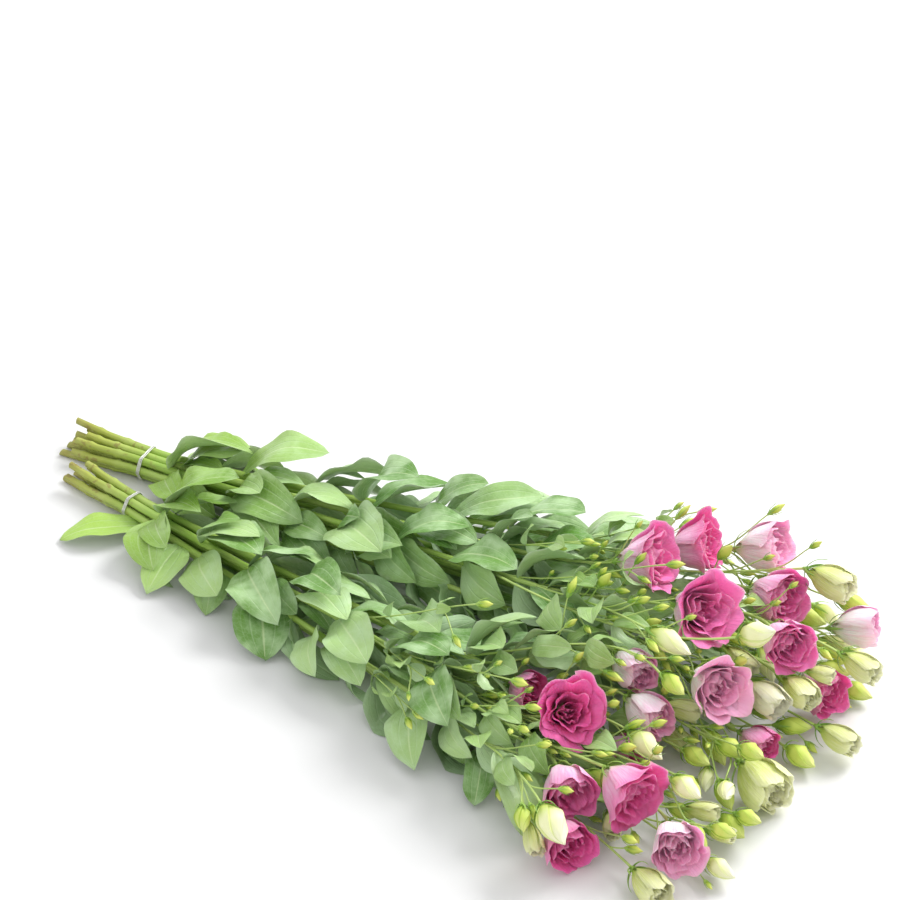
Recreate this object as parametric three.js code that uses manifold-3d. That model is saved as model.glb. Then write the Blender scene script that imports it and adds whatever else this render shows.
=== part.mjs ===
// A cut bunch of lisianthus lying on its side, tied in two hands that lie across each other's leaves.
// Millimetres, +Z up. X runs from the cut ends to the flowers, and the hand called front lies on the -Y side.
// Every leafy stem, every flower, every large bud and each of the two ties is a solid of its own.
import * as THREE from "three";
import Module from "manifold-3d";

const wasm = await Module();
wasm.setup();

const DEG = Math.PI / 180;
const UP = new THREE.Vector3(0, 0, 1);

// ---- Driving dimensions ----
const STEM_RADIUS = 3.3;
const STEM_TOP_RADIUS = 2.1;
const STEM_PITCH = 7.8; // centre to centre under the tie, so that neighbours lie clear of each other
const ROW_RISE = STEM_PITCH * Math.sin(60 * DEG);
const STEM_SIDES = 6;
const STEM_STEPS = 7;
const STEM_FLAT = STEM_RADIUS * Math.cos(30 * DEG); // centre line to the flat of a stem's six-sided section
const CUT_BACK = 74; // length of stem between the tie and the cut end
const FORK = 385; // length of stem between the tie and the place where it branches
const SPREAD_WIDE = 3.2; // how many pitches the stems move apart sideways by the fork
const SPREAD_HIGH = 2.4; // and upwards
const CUT_SPLAY = 0.3;
const HELD = [-8, 12]; // the stretch of stem, measured from the tie, where the section stays packed
const GAP = 0.3; // between pieces that touch
const TIE_THICK = 1.3;
const TIE_WIDE = 2.2;
const TIE_LIFT = 1.05 * (TIE_THICK + GAP + STEM_RADIUS); // height of the lowest centre line under the tie
const BRANCH_RADIUS = 1.3;
const BRANCH_STEPS = 4;
const TWIG_RADIUS = 0.8;
const RECEPTACLE_RADIUS = 2.7;
const RECEPTACLE_HEIGHT = 4.0;
const PETAL_THICK = 1.2;
const PETAL_SEAT = 1.7; // how far from a flower's axis its petals leave the core
const LEAF_THICK = 1.1;
const LEAF_LENGTH = 68;
const LEAF_WIDTH = 40;
const FLOOR_CLEAR = 0.6; // least height of a leaf's middle surface over what the bunch lies on

// The two hands: where the tie is, which way the stems run, and how many stems lie in each row from the bottom.
const HANDS = {
  back: { tie: [-350, 46], heading: 6.5, rows: [3, 4, 3] },
  front: { tie: [-324, -6], heading: -9, rows: [2, 3, 2] },
};

// Flowers: stem, centre, the way that the mouth faces (heading from +X towards +Y, and pitch up), mouth radius,
// height, how far it is open from 0 to 1, and tone.
const FLOWERS = [
  { stem: "back_9", at: [105, 100, 84], faces: [15, 20], radius: 23, height: 44, open: 0.75, tone: "pink" },
  { stem: "back_10", at: [114, 156, 66], faces: [25, 20], radius: 21, height: 42, open: 0.7, tone: "magenta" },
  { stem: "back_8", at: [180, 66, 90], faces: [-18, 26], radius: 26, height: 44, open: 0.9, tone: "pink" },
  { stem: "back_10", at: [159, 188, 66], faces: [18, 18], radius: 21, height: 42, open: 0.6, tone: "pale" },
  { stem: "back_6", at: [196, 151, 58], faces: [-5, 12], radius: 22, height: 44, open: 0.6, tone: "pink" },
  { stem: "back_7", at: [261, 172, 42], faces: [28, 8], radius: 17, height: 38, open: 0.45, tone: "pale" },
  { stem: "back_5", at: [247, 92, 74], faces: [-30, 8], radius: 20, height: 40, open: 0.7, tone: "pink" },
  { stem: "back_8", at: [229, 19, 68], faces: [-22, 14], radius: 22, height: 44, open: 0.8, tone: "pale" },
  { stem: "back_2", at: [270, 108, 26], faces: [-8, 2], radius: 19, height: 38, open: 0.6, tone: "magenta" },
  { stem: "front_7", at: [165, 0, 68], faces: [-22, 2], radius: 17, height: 40, open: 0.45, tone: "pale" },
  { stem: "front_5", at: [196, -24, 54], faces: [-14, 0], radius: 18, height: 42, open: 0.5, tone: "pale" },
  { stem: "front_6", at: [156, -75, 65], faces: [-36, 36], radius: 24, height: 40, open: 0.95, tone: "magenta" },
  { stem: "front_7", at: [98, -50, 46], faces: [-14, 26], radius: 16, height: 34, open: 0.5, tone: "magenta" },
  { stem: "front_3", at: [192, -126, 44], faces: [-38, -2], radius: 21, height: 42, open: 0.6, tone: "pink" },
  { stem: "front_6", at: [236, -108, 52], faces: [-14, -8], radius: 24, height: 44, open: 0.8, tone: "magenta" },
  { stem: "front_4", at: [292, -121, 33], faces: [-44, 4], radius: 20, height: 42, open: 0.7, tone: "pale" },
  { stem: "front_1", at: [214, -158, 23], faces: [-28, 0], radius: 20, height: 38, open: 0.6, tone: "magenta" },
  { stem: "front_5", at: [188, -44, 24], faces: [-16, 6], radius: 14, height: 34, open: 0.4, tone: "pink" },
  { stem: "back_4", at: [264, 30, 20], faces: [-10, 2], radius: 14, height: 32, open: 0.4, tone: "magenta" },
];

// Large buds: stem, centre, facing, greatest radius and length. A parted one has begun to open at its tip.
const BUDS = [
  { stem: "back_10", at: [231, 181, 70], faces: [2, -4], radius: 14, length: 42, tone: "green", parted: true },
  { stem: "back_4", at: [256, 54, 46], faces: [-12, -4], radius: 13, length: 40, tone: "cream", parted: true },
  { stem: "back_1", at: [296, -10, 22], faces: [-18, -4], radius: 20, length: 48, tone: "green", parted: true },
  { stem: "back_9", at: [248, 54, 104], faces: [5, 30], radius: 10.5, length: 36, tone: "cream" },
  { stem: "back_8", at: [190, 18, 92], faces: [-2, -6], radius: 9.5, length: 40, tone: "cream" },
  { stem: "back_6", at: [298, 124, 52], faces: [-4, -6], radius: 11, length: 36, tone: "green", parted: true },
  { stem: "back_5", at: [272, 78, 44], faces: [-14, -6], radius: 12, length: 36, tone: "green", parted: true },
  { stem: "back_3", at: [286, 140, 14], faces: [6, -4], radius: 8, length: 28, tone: "green", rests: true },
  { stem: "front_3", at: [219, -180, 52], faces: [-30, -10], radius: 12, length: 42, tone: "cream" },
  { stem: "front_4", at: [275, -81, 50], faces: [-6, -4], radius: 9, length: 30, tone: "cream" },
  { stem: "front_5", at: [221, -58, 52], faces: [-12, -8], radius: 10, length: 36, tone: "cream" },
  { stem: "front_1", at: [294, -158, 15], faces: [-22, 2], radius: 13, length: 42, tone: "green", parted: true },
  { stem: "front_2", at: [327, -108, 12], faces: [-8, 0], radius: 8, length: 30, tone: "cream" },
  { stem: "front_7", at: [214, -12, 80], faces: [-16, -5], radius: 7.5, length: 27, tone: "green" },
  { stem: "back_1", at: [264, -3, 34], faces: [-2, 0], radius: 8, length: 28, tone: "green" },
  { stem: "back_2", at: [312, 74, 18], faces: [-6, 0], radius: 11, length: 38, tone: "green", parted: true },
  { stem: "front_2", at: [306, -62, 14], faces: [-20, 0], radius: 9, length: 32, tone: "green" },
  { stem: "back_1", at: [298, 44, 16], faces: [-12, 0], radius: 9, length: 32, tone: "green", rests: true },
  { stem: "front_5", at: [244, -22, 28], faces: [-8, 2], radius: 8, length: 28, tone: "green" },
  { stem: "front_4", at: [262, -58, 32], faces: [-14, 0], radius: 7.5, length: 28, tone: "green" },
];

// Large leaves that show most: stem and distance along it, or head and step along its branch, then the tip, the
// width, and how far the middle stands up.
const LARGE_LEAVES = [
  { stem: "front_1", place: 24, tip: [-350, -67, 5], width: 32, bulge: 0.06 },
  { stem: "front_3", place: 68, tip: [-250, -84, 2], width: 36, bulge: 0.16 },
  { stem: "front_3", place: 114, tip: [-197, -76, 2], width: 30, bulge: 0.14 },
  { stem: "front_3", place: 165, tip: [-122, -97, 1], width: 46, bulge: 0.16 },
  { stem: "back_10", place: 84, tip: [-206, 104, 46], width: 36, bulge: 0.22 },
  { stem: "back_7", place: 275, tip: [-8, 165, 42], width: 32, bulge: 0.18 },
  { stem: "back_10", place: 272, tip: [-25, 148, 58], width: 38, bulge: 0.12 },
  { stem: "back_8", place: 300, tip: [14, 55, 64], width: 40, bulge: 0.14 },
  { stem: "front_7", place: 330, tip: [48, -22, 44], width: 28, bulge: 0.1 },
  { stem: "front_3", place: 312, tip: [38, -103, 4], width: 36, bulge: 0.14 },
  { stem: "front_6", place: 372, tip: [116, -108, 14], width: 38, bulge: 0.14 },
  { stem: "back_7", place: 378, tip: [55, 200, 28], width: 32, bulge: 0.14 },
  { stem: "back_9", place: 372, tip: [97, 84, 54], width: 34, bulge: 0.1 },
  { stem: "back_8", place: 380, tip: [104, 22, 42], width: 30, bulge: 0.12 },
  { head: "bud_09", place: 6, tip: [188, -160, 4], width: 34, bulge: 0.12 },
  { head: "flower_17", place: 3, tip: [122, -150, 2], width: 26, bulge: 0.12 },
];

const COLOURS = {
  stem: 0x6d9a3f,
  pink: 0xd9699c,
  magenta: 0xc23d7e,
  pale: 0xe7a9c4,
  green: 0xc3d07a,
  cream: 0xe9ecc4,
  tie: 0xeeeee4,
};

// ---- Small helpers ----
// A repeatable draw from 0 to 1 for a list of whole numbers.
function draw(...keys) {
  let h = 2166136261;
  for (const key of keys) h = Math.imul(h ^ key, 16777619) >>> 0;
  h = Math.imul(h ^ (h >>> 15), 2246822519) >>> 0;
  return (h ^ (h >>> 13)) >>> 0 ? ((h ^ (h >>> 13)) >>> 0) / 4294967296 : 0;
}

// The unit vector with that heading in the plan and that pitch above it, in degrees.
function direction(heading, pitch) {
  const [h, p] = [heading * DEG, pitch * DEG];
  return new THREE.Vector3(Math.cos(p) * Math.cos(h), Math.cos(p) * Math.sin(h), Math.sin(p));
}

// A value read off a list of [place, value] knots by straight lines.
function along(knots, x) {
  const next = knots.findIndex(([place]) => place >= x);
  if (next < 0) return knots[knots.length - 1][1];
  if (next === 0) return knots[0][1];
  const [[x0, y0], [x1, y1]] = [knots[next - 1], knots[next]];
  return y0 + ((y1 - y0) * (x - x0)) / (x1 - x0);
}

// ---- Closed solids from points and triangles ----
function solid(points, triangles) {
  const mesh = (tris) => new wasm.Mesh({
    numProp: 3,
    vertProperties: new Float32Array(points.flatMap((p) => [p.x, p.y, p.z])),
    triVerts: new Uint32Array(tris.flat()),
  });
  const made = new wasm.Manifold(mesh(triangles));
  return made.volume() > 0 ? made : new wasm.Manifold(mesh(triangles.map(([a, b, c]) => [a, c, b])));
}

// A solid through rings of equally many points; a ring of one point closes to a tip, and any other end is capped.
function loft(rings) {
  const points = rings.flat();
  const start = [];
  rings.reduce((sum, ring, i) => ((start[i] = sum), sum + ring.length), 0);
  const triangles = [];
  for (let i = 0; i + 1 < rings.length; i++) {
    const [m, n] = [rings[i].length, rings[i + 1].length];
    for (let k = 0; k < Math.max(m, n); k++) {
      const [a, b] = [start[i] + (k % m), start[i] + ((k + 1) % m)];
      const [c, d] = [start[i + 1] + (k % n), start[i + 1] + ((k + 1) % n)];
      if (m > 1) triangles.push([a, b, c]);
      if (n > 1) triangles.push([b, d, c]);
    }
  }
  const [first, last] = [rings[0], rings[rings.length - 1]];
  for (let k = 1; k + 1 < first.length; k++) triangles.push([start[0], start[0] + k + 1, start[0] + k]);
  const e = start[rings.length - 1];
  for (let k = 1; k + 1 < last.length; k++) triangles.push([e, e + k, e + k + 1]);
  return solid(points, triangles);
}

// A ring of points round a centre, with its corners in the plane of two unit vectors.
function ringAt(centre, side, over, radius, sides, turn = 0) {
  return Array.from({ length: sides }, (_, k) => {
    const a = turn + (2 * Math.PI * k) / sides;
    const r = typeof radius === "function" ? radius(k) : radius;
    return centre.clone().addScaledVector(side, r * Math.cos(a)).addScaledVector(over, r * Math.sin(a));
  });
}

// A tapering tube along a line of points. Its sections keep one corner pair level.
function tube(line, radiusAt, sides) {
  return loft(line.map((point, i) => {
    const ahead = line[Math.min(i + 1, line.length - 1)].clone().sub(line[Math.max(i - 1, 0)]).normalize();
    const side = UP.clone().cross(ahead).normalize();
    const over = ahead.clone().cross(side);
    return ringAt(point, side, over, radiusAt(i / (line.length - 1)), sides);
  }));
}

// A thin blade round a grid of middle points: its two faces have the same triangles and meet at the outline.
// The first row is its root, and a row of one point is a tip.
function blade(rows, thickness) {
  const points = [];
  const [front, back] = [[], []];
  rows.forEach((row, i) => {
    front.push([]);
    back.push([]);
    row.forEach((point, k) => {
      const inside = i > 0 && i + 1 < rows.length && k > 0 && k + 1 < row.length;
      if (!inside) {
        front[i][k] = back[i][k] = points.push(point) - 1;
        return;
      }
      const before = rows[i - 1][Math.min(k, rows[i - 1].length - 1)];
      const after = rows[i + 1][Math.min(k, rows[i + 1].length - 1)];
      const normal = row[k + 1].clone().sub(row[k - 1]).cross(after.clone().sub(before)).normalize();
      front[i][k] = points.push(point.clone().addScaledVector(normal, thickness / 2)) - 1;
      back[i][k] = points.push(point.clone().addScaledVector(normal, -thickness / 2)) - 1;
    });
  });
  const triangles = [];
  for (const [face, flip] of [[front, false], [back, true]]) {
    for (let i = 0; i + 1 < face.length; i++) {
      const [low, high] = [face[i], face[i + 1]];
      for (let k = 0; k + 1 < Math.max(low.length, high.length); k++) {
        const [a, b] = low.length > 1 ? [low[k], low[k + 1]] : [low[0], low[0]];
        const [c, d] = high.length > 1 ? [high[k], high[k + 1]] : [high[0], high[0]];
        // The diagonal runs away from the middle column, so both halves bend alike.
        const even = k < (Math.max(low.length, high.length) - 1) / 2;
        const halves = even ? [[a, b, c], [b, d, c]] : [[a, b, d], [a, d, c]];
        for (const [p, q, r] of halves) {
          if (p !== q && q !== r && r !== p) triangles.push(flip ? [p, r, q] : [p, q, r]);
        }
      }
    }
  }
  return solid(points, triangles);
}

// ---- Stems ----
// Each stem has its place in the packed section under the tie: so many pitches sideways and rows up.
const STEMS = Object.entries(HANDS).flatMap(([hand, { rows }], h) => {
  const stems = rows.flatMap((count, level) => Array.from({ length: count }, (_, k) => [k - (count - 1) / 2, level]));
  return stems.map(([across, level], k) => ({ name: hand + "_" + (k + 1), hand, across, level, key: 100 * h + k }));
});

// Height of the lowest row's centre line at a distance from the tie, where the cut end is at a minus distance.
const LOWEST_ROW = [[-CUT_BACK, STEM_FLAT], [-40, STEM_FLAT], [HELD[0], TIE_LIFT], [HELD[1], TIE_LIFT], [FORK, 9]];

// The centre line: a packed section that opens both ways from the tie, more towards the flowers.
function stemPoint(stem, distance) {
  const { tie, heading } = HANDS[stem.hand];
  const [ahead, side] = [direction(heading, 0), direction(heading + 90, 0)];
  const grown = Math.pow(Math.max(distance - HELD[1], 0) / (FORK - HELD[1]), 1.25);
  const splay = CUT_SPLAY * Math.max(HELD[0] - distance, 0) / (CUT_BACK + HELD[0]);
  const sway = 3 * grown * Math.sin(2.4 * grown + 6 * draw(stem.key, 1));
  const sideways = stem.across * STEM_PITCH * (1 + SPREAD_WIDE * grown + 1.6 * splay) + sway;
  const height = along(LOWEST_ROW, distance) + stem.level * ROW_RISE * (1 + SPREAD_HIGH * grown + splay);
  return new THREE.Vector3(tie[0], tie[1], height).addScaledVector(ahead, distance).addScaledVector(side, sideways);
}

function stemLine(stem) {
  const cut = CUT_BACK - 22 * draw(stem.key, 2) * (stem.level > 0 ? 1 : 0);
  const places = [-cut, -40, HELD[0]];
  for (let k = 0; k <= STEM_STEPS - 3; k++) places.push(HELD[1] + ((FORK - HELD[1]) * k) / (STEM_STEPS - 3));
  return places.map((place) => stemPoint(stem, place));
}

// ---- What a stem carries: branches, calyces and small buds ----
// A branch leaves the stem along it and comes into a head along the head's own axis; attempt bows it aside.
function branchLine(start, startAhead, end, endAhead, attempt, steps) {
  const span = end.distanceTo(start);
  const bow = 8 * Math.ceil(attempt / 6);
  const chord = end.clone().sub(start).normalize();
  const side = UP.clone().cross(chord).normalize();
  const over = chord.clone().cross(side);
  const turn = (attempt * 60 + 30) * DEG;
  const aside = side.multiplyScalar(bow * Math.cos(turn)).addScaledVector(over, bow * Math.sin(turn));
  const curve = new THREE.CubicBezierCurve3(
    start,
    start.clone().addScaledVector(startAhead, span * 0.35).addScaledVector(aside, 1),
    end.clone().addScaledVector(endAhead, -span * 0.3).addScaledVector(aside, 1),
    end,
  );
  return Array.from({ length: steps + 1 }, (_, k) => curve.getPoint(k / steps));
}

// The axes of a head: its own direction and two across it.
function headAxes(faces) {
  const axis = direction(...faces);
  const side = UP.clone().cross(axis).normalize();
  return { axis, side, over: axis.clone().cross(side) };
}

// The receptacle, which opens into five slender sepals that lie along the head's outside. It ends below the head.
function calyx(base, { axis, side, over }, tipRadius, tipHeight, grow = 0) {
  const place = (radius, fifths, height) => base.clone().addScaledVector(axis, height)
    .addScaledVector(side, radius * Math.cos((2 * Math.PI * fifths) / 5))
    .addScaledVector(over, radius * Math.sin((2 * Math.PI * fifths) / 5));
  const points = [];
  const triangles = [];
  for (let k = 0; k < 5; k++) {
    points.push(
      place(BRANCH_RADIUS + 0.3 + grow, k, -RECEPTACLE_HEIGHT - grow),
      place(tipRadius + grow, k, tipHeight + grow),
      place(RECEPTACLE_RADIUS + grow, k + 0.5, -0.6),
      place(RECEPTACLE_RADIUS, k, -0.1),
    );
    const [foot, tip, notch, top] = [0, 1, 2, 3].map((n) => 4 * k + n);
    const [nextFoot, nextTip, nextTop] = [0, 1, 3].map((n) => 4 * ((k + 1) % 5) + n);
    triangles.push([foot, notch, tip], [foot, nextFoot, notch], [nextFoot, nextTip, notch]);
    triangles.push([top, tip, notch], [top, notch, nextTop], [nextTop, notch, nextTip]);
  }
  for (const k of [1, 2, 3]) triangles.push([0, 4 * k + 4, 4 * k], [3, 4 * k + 3, 4 * k + 7]);
  return solid(points, triangles);
}

// A small green bud at the end of a twig.
function smallBud(tip, { axis, side, over }, length, radius) {
  const at = (height) => tip.clone().addScaledVector(axis, height);
  return loft([
    ringAt(at(-1.5), side, over, radius * 0.45, 4),
    ringAt(at(0.36 * length), side, over, radius, 4, 0.5),
    [at(length)],
  ]);
}

// ---- Flowers ----
// Outer petals: five, each with one edge under its neighbour. Inner petals: four, closer in.
const OUTER_ROWS = [0.36, 0.7, 1];
const INNER_ROWS = [0.42, 0.74, 1];

// Radius of the cup at a share of its height: a funnel that flares at the mouth when open.
function cupRadius(flower, share) {
  const closed = along([[0, 0.1], [0.36, 0.8], [0.7, 1], [1, 0.55]], share);
  const opened = along([[0, 0.1], [0.36, 0.62], [0.7, 0.86], [1, 1.12]], share);
  return flower.radius * (closed + (opened - closed) * Math.min(1, flower.open * 1.15));
}

// One petal as rows across it. Its left edge lies under the petal before, and its right edge over the next.
function petalRows(flower, key, petal, petals, rowShares, columns, scale) {
  const turn = (2 * Math.PI * (petal + 0.15 * draw(key, petal, 3))) / petals;
  const halfAngle = (Math.PI / petals) * (petals > 4 ? 1.34 : 1.25);
  const lap = petals > 4 ? 0.1 : 0.2;
  const root = new THREE.Vector3(PETAL_SEAT * Math.cos(turn), PETAL_SEAT * Math.sin(turn), petals > 4 ? 2.6 : 4.4);
  const rows = rowShares.map((share, i) => Array.from({ length: columns }, (_, k) => {
    const across = (2 * k) / (columns - 1) - 1;
    const angle = turn + across * halfAngle * (i === 0 ? 0.9 : 1) + 0.3 * share;
    const ruffle = share === 1 ? (draw(key, petal, k, 5) - 0.5) * (0.05 + 0.12 * flower.open) : 0;
    const level = share * (1 - (share === 1 ? 0.16 : 0.05) * across * across) + ruffle;
    const radius = scale * cupRadius(flower, level) * (1 + lap * across);
    const height = level * flower.height * (0.9 + 0.1 * scale);
    return new THREE.Vector3(radius * Math.cos(angle), radius * Math.sin(angle), height);
  }));
  return [[root], ...rows];
}

function flowerSolid(flower, key) {
  const [x, y] = [new THREE.Vector3(1, 0, 0), new THREE.Vector3(0, 1, 0)];
  const core = loft([
    ringAt(new THREE.Vector3(0, 0, GAP), x, y, 2.2, 5),
    ringAt(new THREE.Vector3(0, 0, 4), x, y, 3.4, 5),
    [new THREE.Vector3(0, 0, 9)],
  ]);
  const centre = loft([
    ringAt(new THREE.Vector3(0, 0, GAP), x, y, 2.2, 5),
    ringAt(new THREE.Vector3(0, 0, 0.45 * flower.height), x, y, 0.4 * flower.radius, 5, 0.6),
    [new THREE.Vector3(0, 0, 0.85 * flower.height)],
  ]);
  const columns = flower.open > 0.5 ? 4 : 3;
  const outer = Array.from({ length: 5 }, (_, k) =>
    blade(petalRows(flower, key, k, 5, OUTER_ROWS, columns, 1), PETAL_THICK));
  const innerCount = flower.open > 0.72 ? 4 : 0;
  const inner = Array.from({ length: innerCount }, (_, k) =>
    blade(petalRows(flower, key + 50, k, 4, INNER_ROWS, 3, 0.52), PETAL_THICK));
  return wasm.Manifold.union([innerCount ? core : centre, ...outer, ...inner]);
}

// A bud: five petals wound round each other, so its section is a five-pointed star that turns upwards. A closed
// bud ends in a tip, and a parted one in a mouth that its walls fall into.
const CLOSED_SECTIONS = [[0, 0.2], [0.36, 1], [0.78, 0.6]];
const PARTED_SECTIONS = [[0, 0.13], [0.36, 0.78], [0.7, 0.96], [1, 0.86]];
const PARTED_DEPTH = 0.6; // height of the bottom of the mouth, as a share of the length

function budSolid(bud) {
  const rings = (bud.parted ? PARTED_SECTIONS : CLOSED_SECTIONS).map(([share, width]) => {
    const centre = new THREE.Vector3(0, 0, GAP + share * bud.length);
    const radius = (k) => bud.radius * width * (k % 2 ? 0.84 : 1);
    return ringAt(centre, new THREE.Vector3(1, 0, 0), new THREE.Vector3(0, 1, 0), radius, 10, 1.5 * share);
  });
  return loft([...rings, [new THREE.Vector3(0, 0, GAP + bud.length * (bud.parted ? PARTED_DEPTH : 1))]]);
}

// ---- Leaves ----
// Half-width of a leaf as a share of its greatest, from the clasping base to the tip.
const LEAF_OUTLINE = [[0.22, 0.78], [0.48, 1], [0.8, 0.7]];
const PLAIN_OUTLINE = [[0.32, 0.94], [0.72, 0.76]]; // for the leaves underneath

// A leaf from its foot: run is the way that it grows, and faceUp the way that its upper side looks. It arches,
// folds along its rib, waves along its edges and lies on the floor where it would go through.
function leafRows(foot, run, faceUp, shape, extra = 0) {
  const cross = run.clone().cross(faceUp);
  const leafCross = cross.clone().multiplyScalar(Math.cos(shape.roll)).addScaledVector(faceUp, Math.sin(shape.roll));
  const normal = faceUp.clone().multiplyScalar(Math.cos(shape.roll)).addScaledVector(cross, -Math.sin(shape.roll));
  const [length, half] = [shape.length + extra, shape.width / 2 + extra];
  const place = (share, across, width) => {
    const bend = shape.bulge * length * Math.sin(Math.PI * share) - shape.arch * length * share * share;
    const edge = shape.fold * Math.abs(across) * width + shape.wave * across * Math.sin(7 * share) * half;
    const point = foot.clone().addScaledVector(run, length * share)
      .addScaledVector(leafCross, across * width)
      .addScaledVector(normal, bend + edge);
    point.z = Math.max(point.z, FLOOR_CLEAR);
    return point;
  };
  const outline = shape.plain ? PLAIN_OUTLINE : LEAF_OUTLINE;
  const rows = outline.map(([share, width]) => [-1, 0, 1].map((across) => place(share, across, width * half)));
  return [[foot], ...rows, [place(1, 0, 0)]];
}

// A leaf that leaves its stem at the angle around it, seen along the stem, and at the angle rise from it.
function stemLeaf(root, ahead, shape, extra = 0) {
  const side = UP.clone().cross(ahead).normalize();
  const over = ahead.clone().cross(side);
  const out = side.multiplyScalar(Math.cos(shape.around)).addScaledVector(over, Math.sin(shape.around));
  const run = ahead.clone().multiplyScalar(Math.cos(shape.rise)).addScaledVector(out, Math.sin(shape.rise));
  const faceUp = ahead.clone().multiplyScalar(-Math.sin(shape.rise)).addScaledVector(out, Math.cos(shape.rise));
  return leafRows(root.clone().addScaledVector(out, shape.seat), run, faceUp, shape, extra);
}

// The shape that a leaf tries on each attempt: it swings round the stem, closes towards it and shrinks a little.
// A leaf that leaves sideways turns its upper side half up.
function leafShape(key, pair, mate, attempt, size = 1) {
  const pick = (channel) => draw(key, pair, mate, attempt, channel);
  const around = (90 * pair + 180 * mate + 45 * (key % 3)) * DEG + (pick(11) - 0.5) * (0.6 + 0.22 * attempt);
  const own = size * (0.84 + 0.3 * draw(key, pair, mate, 12)) * (1 - 0.012 * attempt);
  return {
    around,
    seat: 0.5 * STEM_TOP_RADIUS,
    rise: (18 + 36 * pick(13)) * DEG,
    roll: -0.8 * Math.cos(around) + (pick(14) - 0.5) * 0.7,
    length: LEAF_LENGTH * own,
    width: LEAF_WIDTH * own * (0.85 + 0.3 * draw(key, pair, mate, 15)),
    arch: 0.06 + 0.3 * pick(16),
    bulge: 0.12,
    fold: 0.08 + 0.3 * pick(17),
    wave: 0.12 * (pick(18) - 0.5),
  };
}

// One of the large leaves with a place of its own, from its stem to its tip, which moves a little on each attempt.
function largeLeaf(leaf, key, attempt, extra = 0) {
  const root = leaf.head ? leaf.branch[leaf.place].clone() : stemPoint(stemNamed.get(leaf.stem), leaf.place);
  const [dx, dy, dz] = [41, 42, 43].map((channel) => 1.5 * attempt * (draw(key, attempt, channel) - 0.5));
  const run = new THREE.Vector3(leaf.tip[0] + dx, leaf.tip[1] + dy, leaf.tip[2] + dz).sub(root);
  const length = run.length();
  run.normalize();
  const faceUp = UP.clone().addScaledVector(run, -run.z).normalize();
  const shape = { length, width: leaf.width, arch: 0, bulge: leaf.bulge, fold: 0.16, wave: 0.06 };
  shape.roll = (leaf.roll ?? 0) + 0.08 * attempt * (draw(key, attempt, 44) - 0.5);
  const seat = leaf.head ? 0.2 * BRANCH_RADIUS : 0.5 * STEM_TOP_RADIUS;
  return leafRows(root.addScaledVector(run, seat), run, faceUp, shape, extra);
}

// ---- Laying the bunch out ----
const placed = []; // every solid that is already there, with the piece that it belongs to and its box
function keep(owner, body, group = "") {
  placed.push({ owner, group, body, box: body.boundingBox() });
  return placed[placed.length - 1];
}

// Whether a body would cross a solid of another piece, or one of its own in another group. A body that belongs to
// the head named may run into what carries that head.
function crosses(body, owner, group = "", head = "") {
  const box = body.boundingBox();
  return placed.some((other) => {
    if (other.owner === owner && (group === "" || other.group === "" || other.group === group)) return false;
    if (other.group === "calyx of " + head) return false;
    for (let axis = 0; axis < 3; axis++) {
      if (other.box.min[axis] > box.max[axis] || other.box.max[axis] < box.min[axis]) return false;
    }
    return !body.intersect(other.body).isEmpty();
  });
}

// The first attempt that is clear of everything else, or null. make(attempt, extra) builds it, grown by extra.
function firstClear(attempts, owner, group, make, head = "") {
  for (let attempt = 0; attempt < attempts; attempt++) {
    if (!crosses(make(attempt, 0.45), owner, group, head)) return attempt;
  }
  return null;
}

const bunch = new THREE.Group();
bunch.name = "lisianthus_bunch";
const green = new Map(STEMS.map((stem) => [stem.name, []]));
const stemNamed = new Map(STEMS.map((stem) => [stem.name, stem]));

function colour(tone, roughness) {
  return new THREE.MeshStandardMaterial({ color: COLOURS[tone], roughness, metalness: 0 });
}

// A body's points and triangles, with points that nearly coincide made one. Triangles that collapse are dropped,
// and so are two that close on each other. The reach grows until every edge joins exactly two triangles.
function welded(body) {
  const { numProp, vertProperties, triVerts } = body.getMesh();
  const all = Array.from({ length: vertProperties.length / numProp }, (_, v) =>
    new THREE.Vector3(...vertProperties.subarray(v * numProp, v * numProp + 3)));
  for (const reach of [0.0015, 0.0025, 0.004, 0.006, 0.01, 0.016, 0.024, 0.04]) {
    const points = [];
    const index = all.map((point) => {
      const same = points.findIndex((other) => other.distanceToSquared(point) < reach * reach);
      return same < 0 ? points.push(point) - 1 : same;
    });
    const faces = new Map();
    for (let t = 0; t < triVerts.length; t += 3) {
      const face = [0, 1, 2].map((n) => index[triVerts[t + n]]);
      if (new Set(face).size < 3) continue;
      const key = [...face].sort((a, b) => a - b).join();
      if (!faces.delete(key)) faces.set(key, face);
    }
    const edges = new Set([...faces.values()].flatMap(([a, b, c]) => [[a, b].join(), [b, c].join(), [c, a].join()]));
    const closed = [...edges].every((edge) => edges.has(edge.split(",").reverse().join()));
    if (closed && edges.size === 3 * faces.size) return { points, faces: [...faces.values()] };
  }
  throw new Error("a body has an edge that doesn't join two triangles");
}

function addMesh(name, body, material, matrix = new THREE.Matrix4()) {
  const { points, faces } = welded(body);
  const geometry = new THREE.BufferGeometry();
  geometry.setAttribute("position", new THREE.Float32BufferAttribute(points.flatMap((p) => p.toArray()), 3));
  geometry.setIndex(faces.flat());
  const mesh = new THREE.Mesh(geometry, material);
  mesh.name = name;
  mesh.applyMatrix4(matrix);
  bunch.add(mesh);
  return mesh;
}

// Main stems first: they never cross, because one packed section opens without turning. They taper beyond the tie.
for (const stem of STEMS) {
  const beyond = (share) => Math.max(0, (share * STEM_STEPS - 3) / (STEM_STEPS - 3));
  const radiusAt = (share) => STEM_RADIUS + (STEM_TOP_RADIUS - STEM_RADIUS) * beyond(share);
  green.get(stem.name).push(keep(stem.name, tube(stemLine(stem), radiusAt, STEM_SIDES)).body);
}

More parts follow.
